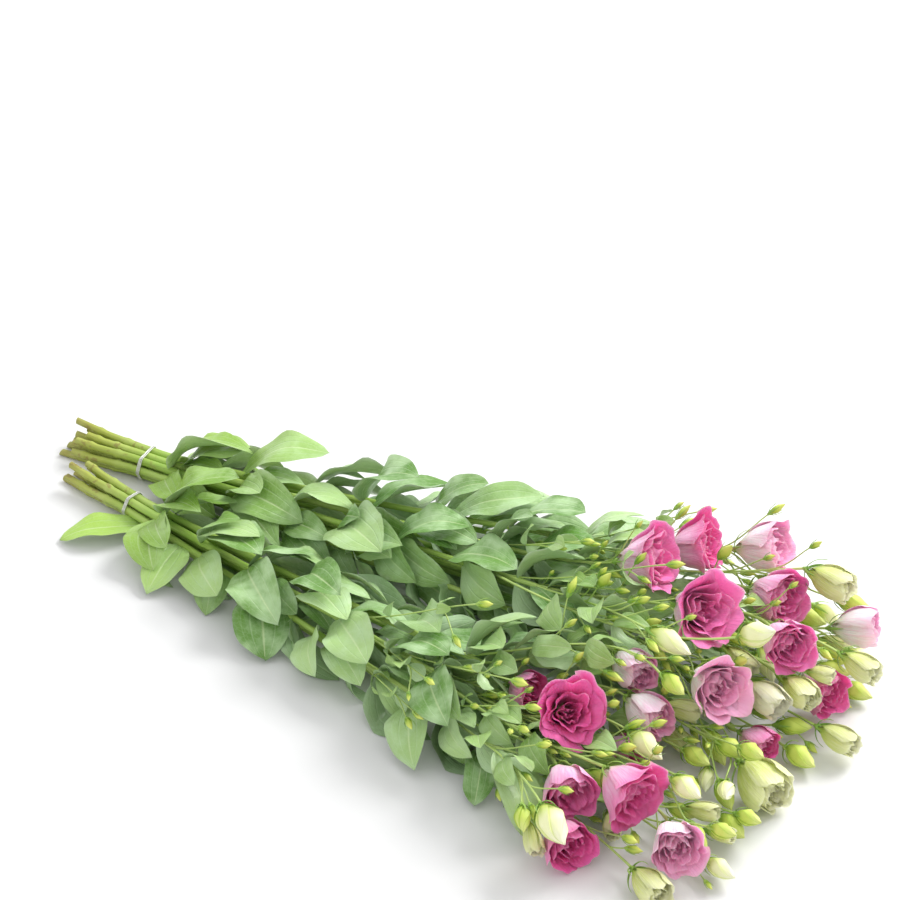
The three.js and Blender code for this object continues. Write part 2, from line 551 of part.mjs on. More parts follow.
// Heads: flowers and large buds, each on its receptacle.
const numbered = (word, k) => word + "_" + String(k + 1).padStart(2, "0");
const heads = [
  ...FLOWERS.map((flower, k) => ({ ...flower, size: flower.height, name: numbered("flower", k), key: 1000 + k })),
  ...BUDS.map((bud, k) => ({ ...bud, size: bud.length, name: numbered("bud", k), key: 2000 + k })),
];
for (const head of heads) {
  const axes = headAxes(head.faces);
  const base = new THREE.Vector3(...head.at).addScaledVector(axes.axis, -head.size / 2);
  const isFlower = head.open !== undefined;
  const body = isFlower ? flowerSolid(head, head.key) : budSolid(head);
  const tipHeight = isFlower ? 0.34 * head.height : 0.36 * head.length;
  const tipRadius = isFlower ? 1.1 * cupRadius(head, 0.34) + 1.6 : head.radius + 2.4;
  if (head.rests) base.z -= calyx(base, axes, tipRadius, tipHeight).boundingBox().min[2];
  const matrix = new THREE.Matrix4().makeBasis(axes.side, axes.over, axes.axis).setPosition(base);
  addMesh(head.name, body, colour(head.tone, 0.6), matrix);
  keep(head.name, body.transform(matrix.elements));
  head.base = base;
  head.axes = axes;
  head.calyx = keep(head.name, calyx(base, axes, tipRadius, tipHeight), "calyx of " + head.name);
}

// Branches from the stems to the heads: the farther the head, the nearer to the fork its branch leaves. A head
// whose own stem has no way through is carried by the next one of its hand.
function headBranch(head, stem, attempt) {
  const { tie } = HANDS[stem.hand];
  const reach = Math.hypot(head.base.x - tie[0], head.base.y - tie[1]);
  const leaves = Math.min(FORK - 2, reach - 75 - 50 * draw(head.key, 7)) - 8 * Math.ceil(attempt / 6);
  const start = stemPoint(stem, leaves);
  const ahead = stemPoint(stem, leaves + 2).sub(stemPoint(stem, leaves - 2)).normalize()
    .lerp(head.base.clone().sub(start).normalize(), 0.5);
  const end = head.base.clone().addScaledVector(head.axes.axis, 1 - RECEPTACLE_HEIGHT);
  return (steps) => branchLine(start, ahead, end, head.axes.axis, attempt, steps);
}

for (const head of heads) {
  const own = stemNamed.get(head.stem);
  const others = STEMS.filter((stem) => stem.hand === own.hand && stem !== own)
    .sort((p, q) => Math.abs(p.key - own.key) - Math.abs(q.key - own.key));
  for (const stem of [own, ...others]) {
    const make = (attempt, extra) =>
      tube(headBranch(head, stem, attempt)(BRANCH_STEPS), () => BRANCH_RADIUS + extra, 3);
    const attempt = firstClear(37, stem.name, "", make, head.name);
    head.attempt = attempt;
    if (attempt === null) continue;
    head.stem = stem.name;
    head.branch = headBranch(head, stem, attempt)(12);
    head.calyx.owner = stem.name;
    head.calyx.group = "";
    green.get(stem.name).push(head.calyx.body, keep(stem.name, make(attempt, 0)).body);
    break;
  }
}

// Small green buds on twigs that leave the branches.
for (const head of heads) {
  if (draw(head.key, 21) > 0.3) continue;
  const place = draw(head.key, 22) < 0.5 ? 6 : 9;
  const start = head.branch[place];
  const ahead = head.branch[place + 1].clone().sub(head.branch[place - 1]).normalize();
  const shape = (attempt) => {
    const axes = headAxes([
      Math.atan2(ahead.y, ahead.x) / DEG + 50 * (draw(head.key, attempt, 23) - 0.5),
      Math.asin(ahead.z) / DEG + 50 * (draw(head.key, attempt, 24) - 0.4),
    ]);
    return { axes, tip: start.clone().addScaledVector(axes.axis, 34 + 30 * draw(head.key, attempt, 25)) };
  };
  const make = (attempt, extra) => {
    const { axes, tip } = shape(attempt);
    const twig = tube(branchLine(start, ahead, tip, axes.axis, 0, 2), () => TWIG_RADIUS + extra, 3);
    return wasm.Manifold.union([twig, smallBud(tip, axes, 13 + extra, 2.9 + extra)]);
  };
  const attempt = firstClear(30, head.stem, "", make);
  if (attempt !== null && shape(attempt).tip.z > 4) green.get(head.stem).push(keep(head.stem, make(attempt, 0)).body);
}

// The large leaves.
LARGE_LEAVES.forEach((leaf, k) => {
  const head = heads.find(({ name }) => name === leaf.head);
  if (head) [leaf.stem, leaf.branch] = [head.stem, head.branch];
  const make = (attempt, extra) => blade(largeLeaf(leaf, 3000 + k, attempt, extra), LEAF_THICK + 2 * extra);
  leaf.attempt = firstClear(40, leaf.stem, "large", make);
  if (leaf.attempt === null) return;
  green.get(leaf.stem).push(keep(leaf.stem, make(leaf.attempt, 0), "large").body);
});

// Leaves in opposite pairs, each pair turned a quarter against the one below, where there is room for them.
const PAIR_PLACES = [36, 92, 148, 204, 260, 316, 370];
for (const stem of [...STEMS].sort((a, b) => b.level - a.level)) {
  stem.leaves = [];
  PAIR_PLACES.forEach((nominal, pair) => {
    const place = nominal + 24 * (draw(stem.key, pair, 31) - 0.5);
    const root = stemPoint(stem, place);
    const ahead = stemPoint(stem, place + 2).sub(stemPoint(stem, place - 2)).normalize();
    for (const mate of [0, 1]) {
      const shapeOf = (attempt) => ({ ...leafShape(stem.key, pair, mate, attempt), plain: stem.level === 0 });
      const make = (attempt, extra) =>
        blade(stemLeaf(root, ahead, shapeOf(attempt), extra), LEAF_THICK + 2 * extra);
      const attempt = firstClear(10, stem.name, "pair" + pair, make);
      if (attempt === null) continue;
      green.get(stem.name).push(keep(stem.name, make(attempt, 0), "pair" + pair).body);
      stem.leaves.push(attempt);
    }
  });
}

// A narrower leaf where a branch carries one.
for (const head of heads) {
  if (draw(head.key, 51) > 0.35) continue;
  const place = draw(head.key, 52) < 0.5 ? 3 : 6;
  const ahead = head.branch[place + 1].clone().sub(head.branch[place - 1]).normalize();
  const make = (attempt, extra) => {
    const shape = leafShape(head.key, 0, 0, attempt, 0.72);
    shape.seat = 0.2 * BRANCH_RADIUS;
    return blade(stemLeaf(head.branch[place], ahead, shape, extra), LEAF_THICK + 2 * extra);
  };
  head.leaf = firstClear(16, head.stem, "branch", make);
  if (head.leaf === null) continue;
  green.get(head.stem).push(keep(head.stem, make(head.leaf, 0), "branch").body);
}

for (const stem of STEMS) {
  addMesh("stem_" + stem.name, wasm.Manifold.union(green.get(stem.name)), colour("stem", 0.55));
}

// ---- Ties ----
// A thin band round each hand: the outline is the packed section's outer stems, rounded off at each.
function tieMesh(hand) {
  const { tie, heading, rows } = HANDS[hand];
  const widest = Math.max(...rows);
  const ends = (level) => ((rows[level] - 1) / 2) * STEM_PITCH;
  const corners = [
    [ends(0), 0], [((widest - 1) / 2) * STEM_PITCH, ROW_RISE], [ends(2), 2 * ROW_RISE],
    [-ends(2), 2 * ROW_RISE], [-((widest - 1) / 2) * STEM_PITCH, ROW_RISE], [-ends(0), 0],
  ];
  const outline = (offset) => corners.flatMap(([y, z], k) => {
    const middle = [-60, 0, 60, 120, 180, 240][k];
    return [-20, 20].map((swing) => {
      const [a, r] = [(middle + swing) * DEG, offset / Math.cos(swing * DEG)];
      return new THREE.Vector2(y + r * Math.cos(a), z + r * Math.sin(a));
    });
  });
  const shape = new THREE.Shape(outline(STEM_RADIUS + GAP + TIE_THICK));
  shape.holes.push(new THREE.Path(outline(STEM_RADIUS + GAP)));
  const band = new THREE.ExtrudeGeometry(shape, { depth: TIE_WIDE, bevelEnabled: false });
  const mesh = new THREE.Mesh(band, colour("tie", 0.5));
  mesh.name = "tie_" + hand;
  // The outline's first axis lies across the stems, and its second upright.
  mesh.applyMatrix4(new THREE.Matrix4().makeBasis(direction(heading + 90, 0), UP, direction(heading, 0))
    .setPosition(tie[0], tie[1], TIE_LIFT));
  bunch.add(mesh);
}
tieMesh("back");
tieMesh("front");

// ---- The frame: origin under the middle of the bunch, on the surface that it lies on ----
bunch.updateMatrixWorld(true);
const box = new THREE.Box3().setFromObject(bunch, true);
bunch.position.set(-(box.min.x + box.max.x) / 2, -(box.min.y + box.max.y) / 2, 0);
const part = new THREE.Group();
part.add(bunch);

export default part;
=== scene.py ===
"""A cut bunch of double lisianthus, tied in two hands and lying on its side.

Lengths are worked out in millimetres in the bunch's own frame, where X runs from the cut ends to the
flowers, and become metres in the part's frame when they go into a mesh.
"""
import math

import bpy
import numpy as np
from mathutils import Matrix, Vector
from mathutils.bvhtree import BVHTree


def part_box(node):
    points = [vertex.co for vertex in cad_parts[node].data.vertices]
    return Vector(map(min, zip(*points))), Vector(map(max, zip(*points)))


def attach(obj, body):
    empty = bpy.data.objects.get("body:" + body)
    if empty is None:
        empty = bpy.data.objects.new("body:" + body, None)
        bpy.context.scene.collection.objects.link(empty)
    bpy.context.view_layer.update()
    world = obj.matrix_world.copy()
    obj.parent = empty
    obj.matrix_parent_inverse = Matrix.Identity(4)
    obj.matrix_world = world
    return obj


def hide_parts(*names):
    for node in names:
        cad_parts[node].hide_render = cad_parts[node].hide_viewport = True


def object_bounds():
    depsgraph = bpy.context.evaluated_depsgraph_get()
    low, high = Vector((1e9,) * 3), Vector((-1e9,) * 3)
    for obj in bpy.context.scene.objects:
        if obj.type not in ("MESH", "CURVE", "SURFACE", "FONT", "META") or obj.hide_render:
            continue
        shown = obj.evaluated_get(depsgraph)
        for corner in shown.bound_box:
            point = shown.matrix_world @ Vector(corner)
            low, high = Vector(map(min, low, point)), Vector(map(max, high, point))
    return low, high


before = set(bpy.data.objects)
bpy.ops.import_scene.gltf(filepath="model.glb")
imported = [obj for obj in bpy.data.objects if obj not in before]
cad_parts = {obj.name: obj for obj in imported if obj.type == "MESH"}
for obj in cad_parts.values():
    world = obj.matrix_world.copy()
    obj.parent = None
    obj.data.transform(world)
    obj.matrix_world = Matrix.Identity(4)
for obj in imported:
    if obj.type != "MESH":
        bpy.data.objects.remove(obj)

cad_low, cad_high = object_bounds()

MM = 0.001
UP = np.array([0.0, 0.0, 1.0])

# ---- Driving dimensions, as in the part: millimetres and degrees ----
STEM_RADIUS = 3.3
STEM_TOP_RADIUS = 2.1
STEM_PITCH = 7.8
ROW_RISE = STEM_PITCH * math.sin(math.radians(60))
STEM_FLAT = STEM_RADIUS * math.cos(math.radians(30))
CUT_BACK = 74
FORK = 385
SPREAD_WIDE = 3.2
SPREAD_HIGH = 2.4
CUT_SPLAY = 0.3
HELD = (-8, 12)
GAP = 0.3
TIE_THICK = 1.3
TIE_WIDE = 2.2
TIE_LIFT = 1.05 * (TIE_THICK + GAP + STEM_RADIUS)
BRANCH_RADIUS = 1.3
BRANCH_STEPS = 4
RECEPTACLE_RADIUS = 2.7
RECEPTACLE_HEIGHT = 4.0
LEAF_LENGTH = 68
LEAF_WIDTH = 40
FLOOR_CLEAR = 0.6
PAIR_PLACES = (36, 92, 148, 204, 260, 316, 370)
PAIR_SCATTER = 24
PARTED_OPENING = 0.38
TWIG_BUD_LENGTH = 13
TWIG_BUD_RADIUS = 2.9

# ---- Dimensions of the finer pieces ----
FLOOR_SKIM = 0.3
SHARP_EDGE = 62
STEM_SIDES = 14
KNOB_SWELL = 0.24
KNOB_WIDTH = 2.6
PETAL_THICK = 0.45
SEPAL_THICK = 0.5
LEAF_THICK = 0.55
OUTER_PETAL_GRID = (19, 17)
INNER_PETAL_GRID = (15, 15)
LARGE_LEAF_GRID = (17, 13)
SMALL_LEAF_GRID = (11, 9)
COARSE_LEAF_GRID = (7, 5)
SMALL_LEAF_LENGTH = 34
CORD_RADII = (0.42, 0.5, 0.42)

# How often each kind of piece tries to find room: first as in the part, then for what is added. Attempts at
# a branch come in rounds of BOW_TURNS, and each round bows it further aside, by BOW.
BRANCH_ATTEMPTS = 37
BOW_TURNS = 6
BOW = 8
TWIG_ATTEMPTS = 30
LARGE_LEAF_ATTEMPTS = 40
PAIR_ATTEMPTS = 10
SIDE_LEAF_ATTEMPTS = 16
MORE_TWIG_ATTEMPTS = 12
MORE_HEAD_ATTEMPTS = 26

# The shares of heads whose branch has a twig with a small bud, and a leaf.
TWIG_SHARE = 0.3
SIDE_LEAF_SHARE = 0.35

# Where more may grow. A twig ends past HEADS_FROM along the bunch, and nothing goes over the slanting line
# where the distance along it plus FAR_SLANT of that across comes to FAR_END. Small heads grow on branches
# whose own head lies past MORE_HEADS_FROM, and lie themselves past LOW_HEADS_FROM and below LOW_HEADS.
HEADS_FROM = 36
FAR_END = 408
FAR_SLANT = 0.73
MORE_HEADS_FROM = 140
LOW_HEADS_FROM = 170
LOW_HEADS = 52

# The two hands: where the tie is, which way the stems run, and how many stems lie in each row from the
# bottom.
HANDS = {
    "back": {"tie": (-350, 46), "heading": 6.5, "rows": (3, 4, 3)},
    "front": {"tie": (-324, -6), "heading": -9, "rows": (2, 3, 2)},
}

# Flowers: stem, centre, the way that the mouth faces (heading and pitch), mouth radius, height, how far
# open, tone.
FLOWERS = [
    ("back_9", (105, 100, 84), (15, 20), 23, 44, 0.75, "pink"),
    ("back_10", (114, 156, 66), (25, 20), 21, 42, 0.7, "magenta"),
    ("back_8", (180, 66, 90), (-18, 26), 26, 44, 0.9, "pink"),
    ("back_10", (159, 188, 66), (18, 18), 21, 42, 0.6, "pale"),
    ("back_6", (196, 151, 58), (-5, 12), 22, 44, 0.6, "pink"),
    ("back_7", (261, 172, 42), (28, 8), 17, 38, 0.45, "pale"),
    ("back_5", (247, 92, 74), (-30, 8), 20, 40, 0.7, "pink"),
    ("back_8", (229, 19, 68), (-22, 14), 22, 44, 0.8, "pale"),
    ("back_2", (270, 108, 26), (-8, 2), 19, 38, 0.6, "magenta"),
    ("front_7", (165, 0, 68), (-22, 2), 17, 40, 0.45, "pale"),
    ("front_5", (196, -24, 54), (-14, 0), 18, 42, 0.5, "pale"),
    ("front_6", (156, -75, 65), (-36, 36), 24, 40, 0.95, "magenta"),
    ("front_7", (98, -50, 46), (-14, 26), 16, 34, 0.5, "magenta"),
    ("front_3", (192, -126, 44), (-38, -2), 21, 42, 0.6, "pink"),
    ("front_6", (236, -108, 52), (-14, -8), 24, 44, 0.8, "magenta"),
    ("front_4", (292, -121, 33), (-44, 4), 20, 42, 0.7, "pale"),
    ("front_1", (214, -158, 23), (-28, 0), 20, 38, 0.6, "magenta"),
    ("front_5", (188, -44, 24), (-16, 6), 14, 34, 0.4, "pink"),
    ("back_4", (264, 30, 20), (-10, 2), 14, 32, 0.4, "magenta"),
]

# Large buds: stem, centre, facing, greatest radius, length, tone, and whether a bud is closed, lies with its
# sepals on the floor, or has parted at its tip.
BUDS = [
    ("back_10", (231, 181, 70), (2, -4), 14, 42, "green", "parted"),
    ("back_4", (256, 54, 46), (-12, -4), 13, 40, "cream", "parted"),
    ("back_1", (296, -10, 22), (-18, -4), 20, 48, "green", "parted"),
    ("back_9", (248, 54, 104), (5, 30), 10.5, 36, "cream", "closed"),
    ("back_8", (190, 18, 92), (-2, -6), 9.5, 40, "cream", "closed"),
    ("back_6", (298, 124, 52), (-4, -6), 11, 36, "green", "parted"),
    ("back_5", (272, 78, 44), (-14, -6), 12, 36, "green", "parted"),
    ("back_3", (286, 140, 14), (6, -4), 8, 28, "green", "rests"),
    ("front_3", (219, -180, 52), (-30, -10), 12, 42, "cream", "closed"),
    ("front_4", (275, -81, 50), (-6, -4), 9, 30, "cream", "closed"),
    ("front_5", (221, -58, 52), (-12, -8), 10, 36, "cream", "closed"),
    ("front_1", (294, -158, 15), (-22, 2), 13, 42, "green", "parted"),
    ("front_2", (327, -108, 12), (-8, 0), 8, 30, "cream", "closed"),
    ("front_7", (214, -12, 80), (-16, -5), 7.5, 27, "green", "closed"),
    ("back_1", (264, -3, 34), (-2, 0), 8, 28, "green", "closed"),
    ("back_2", (312, 74, 18), (-6, 0), 11, 38, "green", "parted"),
    ("front_2", (306, -62, 14), (-20, 0), 9, 32, "green", "closed"),
    ("back_1", (298, 44, 16), (-12, 0), 9, 32, "green", "rests"),
    ("front_5", (244, -22, 28), (-8, 2), 8, 28, "green", "closed"),
    ("front_4", (262, -58, 32), (-14, 0), 7.5, 28, "green", "closed"),
]

# Large leaves: stem and distance along it, or head and step along its branch, then tip, width and bulge.
LARGE_LEAVES = [
    ("front_1", 24, (-350, -67, 5), 32, 0.06),
    ("front_3", 68, (-250, -84, 2), 36, 0.16),
    ("front_3", 114, (-197, -76, 2), 30, 0.14),
    ("front_3", 165, (-122, -97, 1), 46, 0.16),
    ("back_10", 84, (-206, 104, 46), 36, 0.22),
    ("back_7", 275, (-8, 165, 42), 32, 0.18),
    ("back_10", 272, (-25, 148, 58), 38, 0.12),
    ("back_8", 300, (14, 55, 64), 40, 0.14),
    ("front_7", 330, (48, -22, 44), 28, 0.1),
    ("front_3", 312, (38, -103, 4), 36, 0.14),
    ("front_6", 372, (116, -108, 14), 38, 0.14),
    ("back_7", 378, (55, 200, 28), 32, 0.14),
    ("back_9", 372, (97, 84, 54), 34, 0.1),
    ("back_8", 380, (104, 22, 42), 30, 0.12),
    ("bud_09", 6, (188, -160, 4), 34, 0.12),
    ("flower_17", 3, (122, -150, 2), 26, 0.12),
]


# ---- Small helpers ----
def draw(*keys):
    """A repeatable draw from 0 to 1 for a list of whole numbers, by a 32-bit hash."""
    h = 2166136261
    for key in keys:
        h = ((h ^ key) * 16777619) & 0xFFFFFFFF
    h = ((h ^ (h >> 15)) * 2246822519) & 0xFFFFFFFF
    return (h ^ (h >> 13)) / 4294967296


def unit(v):
    """Vectors cut or stretched to length one."""
    return v / np.maximum(np.linalg.norm(v, axis=-1, keepdims=True), 1e-12)


def direction(heading, pitch):
    """The unit vector with that heading in the plan and that pitch above it, in degrees."""
    h, p = math.radians(heading), math.radians(pitch)
    return np.array([math.cos(p) * math.cos(h), math.cos(p) * math.sin(h), math.sin(p)])


def along(knots, x):
    """Read off a list of [place, value] knots by straight lines."""
    return np.interp(x, *zip(*knots))


def curve(knots, x):
    """Read off a list of [place, value] knots by a smooth line: a cubic between each two knots, whose
    slope at a knot is that of its neighbours."""
    px, py = np.array(knots, float).T
    slope = np.gradient(py, px)
    i = np.clip(np.searchsorted(px, x) - 1, 0, len(px) - 2)
    h = px[i + 1] - px[i]
    u = (x - px[i]) / h
    low = (1 + 2 * u) * (1 - u) ** 2 * py[i] + u * (1 - u) ** 2 * h * slope[i]
    return low + u * u * (3 - 2 * u) * py[i + 1] + u * u * (u - 1) * h * slope[i + 1]


def rise(low, high, x):
    """A smooth step from 0 at low to 1 at high."""
    u = np.clip((x - low) / (high - low), 0, 1)
    return u * u * (3 - 2 * u)


def across_of(ahead):
    """For unit vectors ahead, the level one across them and the one over both."""
    side = unit(np.cross(UP, ahead))
    return side, np.cross(ahead, side)


def even_angles(count):
    """That many angles, evenly round a circle."""
    return 2 * np.pi * np.arange(count) / count


def ring_of(angle, side, over):
    """Unit vectors round an axis, at angles from side towards over."""
    return np.cos(angle)[..., None] * side + np.sin(angle)[..., None] * over


def closed_rings(rings):
    """Rings of points that come back to their first."""
    return np.concatenate([rings, rings[:, :1]], 1)


def on_line(line, place):
    """One of a line's points, and the way that the line runs there."""
    return line[place], unit(line[place + 1] - line[place - 1])


def pairs(u, v):
    """Two arrays spread over each other, as pairs of values."""
    return np.stack(np.broadcast_arrays(u, v), -1)


def grid_quads(rows, columns):
    """The corners of a grid's faces, which join each two rows and two columns."""
    first = (np.arange(rows - 1)[:, None] * columns + np.arange(columns - 1)).ravel()
    return np.stack([first, first + 1, first + columns + 1, first + columns], 1)


# ---- Surfaces ----
class Skin:
    """Grids of points, gathered before they become one mesh. Each grid also says, for the materials, its
    tint, which side of a petal or leaf it is, and its kind, and carries a UV place for each point."""

    def __init__(self):
        self.points, self.quads, self.uv, self.marks = [], [], [], []
        self.count = 0

    def grid(self, points, uv, tint=0.5, side=0.0, kind=0.0, flip=False):
        """points is rows x columns x 3. A face that is turned over starts at the same corner, so that it
        is split along the same diagonal as the face behind it."""
        rows, columns = points.shape[:2]
        quads = self.count + grid_quads(rows, columns)
        self.quads.append(quads[:, [0, 3, 2, 1]] if flip else quads)
        self.points.append(points.reshape(-1, 3))
        self.uv.append(np.broadcast_to(uv, points.shape[:2] + (2,)).reshape(-1, 2))
        self.marks.append(np.tile([tint, side, kind], (len(quads), 1)))
        self.count += rows * columns

    def blade(self, middle, uv, thickness, **marks):
        """Two faces round a middle surface. Each lies off it along the normal by half the thickness,
        which falls to nothing at the outline, where the faces meet."""
        rows, columns = middle.shape[:2]
        normal = unit(np.cross(np.gradient(middle, axis=1), np.gradient(middle, axis=0)))
        ends = np.minimum(1, 4 * np.sin(np.pi * np.linspace(0, 1, rows)))[:, None]
        sides = np.minimum(1, 2.5 * np.sin(np.pi * np.linspace(0, 1, columns)))[None, :]
        lift = normal * (0.5 * thickness * ends * sides)[..., None]
        lift[[0, -1]] = 0
        lift[:, [0, -1]] = 0
        self.grid(middle + lift, uv, side=0.0, **marks)
        self.grid(middle - lift, uv, side=1.0, flip=True, **marks)

    def pipe(self, rings, uv, cap=True, **marks):
        """A surface round rings of points, each of which comes back to its first. Its ends close to their
        middles."""
        rings = closed_rings(rings)
        if cap:
            ends = [np.broadcast_to(rings[i, :-1].mean(0), rings[i].shape) for i in (0, -1)]
            rings = np.concatenate([ends[:1], rings, ends[1:]])
            uv = np.concatenate([uv[:1], uv, uv[-1:]])
        self.grid(rings, uv, **marks)

    def join(self):
        """The gathered grids as (points, corner points, corner UVs, corners of each face, marks), with
        points at one place made one and the corners that a face then has twice dropped."""
        points, quads = np.concatenate(self.points), np.concatenate(self.quads)
        _, keep, same = np.unique(np.round(points, 4), axis=0, return_index=True, return_inverse=True)
        faces = same.reshape(-1)[quads]
        distinct = faces != np.roll(faces, -1, 1)
        whole = distinct.sum(1) > 2
        faces, distinct, quads = faces[whole], distinct[whole], quads[whole]
        uv = np.concatenate(self.uv)[quads][distinct]
        return points[keep], faces[distinct], uv, distinct.sum(1), np.concatenate(self.marks)[whole]


def off_floor(z):
    """Heights that stay above the floor: below a small height they fall off by an exponential, so nothing
    sinks into the floor and what lies over another thing stays over it."""
    return np.where(z < FLOOR_SKIM, FLOOR_SKIM * np.exp(np.minimum(z, FLOOR_SKIM) / FLOOR_SKIM - 1), z)


def make_piece(name, skin, slot, material, *nodes):
    """The skin as a mesh object of that name, which stands for the CAD nodes."""
    points, corners, uv, sizes, marks = skin.join()
    points[:, 2] = off_floor(points[:, 2])
    mesh = bpy.data.meshes.new(name)
    mesh.vertices.add(len(points))
    mesh.vertices.foreach_set("co", ((points + SHIFT) * MM).astype(np.float32).ravel())
    mesh.loops.add(len(corners))
    mesh.loops.foreach_set("vertex_index", corners.astype(np.int32))
    mesh.polygons.add(len(sizes))
    mesh.polygons.foreach_set("loop_start", (np.cumsum(sizes) - sizes).astype(np.int32))
    mesh.polygons.foreach_set("loop_total", sizes.astype(np.int32))
    mesh.polygons.foreach_set("use_smooth", np.ones(len(sizes), bool))
    mesh.update(calc_edges=True)
    mesh.uv_layers.new(name="place").uv.foreach_set("vector", uv.astype(np.float32).ravel())
    attribute = mesh.attributes.new("marks", "FLOAT_VECTOR", "FACE")
    attribute.data.foreach_set("vector", marks.astype(np.float32).ravel())
    mesh.set_sharp_from_angle(angle=math.radians(SHARP_EDGE))
    mesh.validate()
    mesh.materials.append(material)
    piece = bpy.data.objects.new(name, mesh)
    bpy.context.scene.collection.objects.link(piece)
    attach(piece, "root")
    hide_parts(*nodes)


def tube_rings(line, radius, sides):
    """Round sections across a line of points: each is a circle of the radius there, in the plane across
    it."""
    line = np.asarray(line, float)
    side, over = across_of(unit(np.gradient(line, axis=0)))
    r = np.broadcast_to(radius, (len(line),))[:, None, None]
    return line[:, None] + r * ring_of(even_angles(sides)[None, :], side[:, None], over[:, None])


def tube_uv(rings, lengths):
    """U once round the tube, and V the length along it in metres."""
    u = np.linspace(0, 1, rings.shape[1] + 1)
    return pairs(u[None, :], MM * np.asarray(lengths)[:, None])


def lengths_of(line):
    """The distance of each point of a line from its first."""
    return np.concatenate([[0], np.cumsum(np.linalg.norm(np.diff(line, axis=0), axis=1))])


# ---- Stems ----
STEMS = []
for h, (hand, given) in enumerate(HANDS.items()):
    places = [(k - (count - 1) / 2, level)
              for level, count in enumerate(given["rows"]) for k in range(count)]
    for k, (beside, level) in enumerate(places):
        STEMS.append({"name": f"{hand}_{k + 1}", "hand": hand, "beside": beside, "level": level,
                      "key": 100 * h + k})
STEM_NAMED = {stem["name"]: stem for stem in STEMS}
TOP_DOWN = sorted(STEMS, key=lambda stem: -stem["level"])
LOWEST_ROW = [(-CUT_BACK, STEM_FLAT), (-40, STEM_FLAT), (HELD[0], TIE_LIFT), (HELD[1], TIE_LIFT), (FORK, 9)]


def stem_point(stem, distance):
    """Points of a stem's centre line, at distances from the tie. The stems lie packed under the tie, and
    move apart from there by a power of the distance, with a slow sine to the side."""
    hand = HANDS[stem["hand"]]
    ahead, side = direction(hand["heading"], 0), direction(hand["heading"] + 90, 0)
    d = np.asarray(distance, float)
    grown = (np.maximum(d - HELD[1], 0) / (FORK - HELD[1])) ** 1.25
    splay = CUT_SPLAY * np.maximum(HELD[0] - d, 0) / (CUT_BACK + HELD[0])
    sway = 3 * grown * np.sin(2.4 * grown + 6 * draw(stem["key"], 1))
    sideways = stem["beside"] * STEM_PITCH * (1 + SPREAD_WIDE * grown + 1.6 * splay) + sway
    height = along(LOWEST_ROW, d) + stem["level"] * ROW_RISE * (1 + SPREAD_HIGH * grown + splay)
    foot = np.array([*hand["tie"], 0.0])
    return foot + d[..., None] * ahead + sideways[..., None] * side + height[..., None] * UP


def on_stem(stem, place, reach=1):
    """A point of a stem's centre line, and the way that the stem runs there, read off over the reach to
    both sides."""
    way = unit(stem_point(stem, place + reach) - stem_point(stem, place - reach))
    return stem_point(stem, place), way


# Where the bunch's own frame lies in the part's frame, read off the tie, whose middle is known in both.
tie_low, tie_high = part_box("tie_back")
tie_middle = np.array([*HANDS["back"]["tie"], 0.0]) + direction(HANDS["back"]["heading"], 0) * TIE_WIDE / 2
SHIFT = (np.array(tie_low) + np.array(tie_high)) / 2 / MM - tie_middle
SHIFT[2] = 0


def cad_points(node):
    """The vertices of a CAD node, in the bunch's own frame."""
    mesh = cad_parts[node].data
    co = np.empty(3 * len(mesh.vertices), np.float32)
    mesh.vertices.foreach_get("co", co)
    return co.reshape(-1, 3).astype(float) / MM - SHIFT


CAD = {stem["name"]: cad_points("stem_" + stem["name"]) for stem in STEMS}
# Two points nearer than this are the same vertex.
SAME_POINT = 0.08


def hits(stem, points):
    """How many of the points are vertices of the stem's CAD node."""
    gaps = np.linalg.norm(CAD[stem][:, None] - np.atleast_2d(points)[None], axis=2)
    return int((gaps.min(0) < SAME_POINT).sum())


# ---- Heads and the branches that carry them ----
def head_axes(facing):
    """A head's own direction and two across it."""
    axis = direction(*facing)
    side, over = across_of(axis)
    return axis, side, over


def cup_radius(radius, opening, share, read=curve):
    """Radius of a flower's cup at a share of its height: a funnel that flares at the mouth when open."""
    closed = read([(0, 0.1), (0.36, 0.8), (0.7, 1), (1, 0.55)], share)
    opened = read([(0, 0.1), (0.36, 0.62), (0.7, 0.86), (1, 1.12)], share)
    return radius * (closed + (opened - closed) * min(1, opening * 1.15))


def branch_line(start, start_ahead, end, end_ahead, attempt, share):
    """A cubic Bezier from a stem to a head. Its two middle points are bowed aside by the attempt."""
    span = np.linalg.norm(end - start)
    bow = BOW * math.ceil(attempt / BOW_TURNS)
    side, over = across_of(unit(end - start))
    turn = math.radians(attempt * 360 / BOW_TURNS + 30)
    aside = bow * (math.cos(turn) * side + math.sin(turn) * over)
    p = [start, start + start_ahead * span * 0.35 + aside, end - end_ahead * span * 0.3 + aside, end]
    t = np.asarray(share, float)[:, None]
    return (1 - t) ** 3 * p[0] + 3 * t * (1 - t) ** 2 * p[1] + 3 * t * t * (1 - t) * p[2] + t ** 3 * p[3]


# How much wider than its head a calyx is at its tips.
CLOSED_CALYX_ROOM = 1.1
RESTING_CALYX_ROOM = 2.4


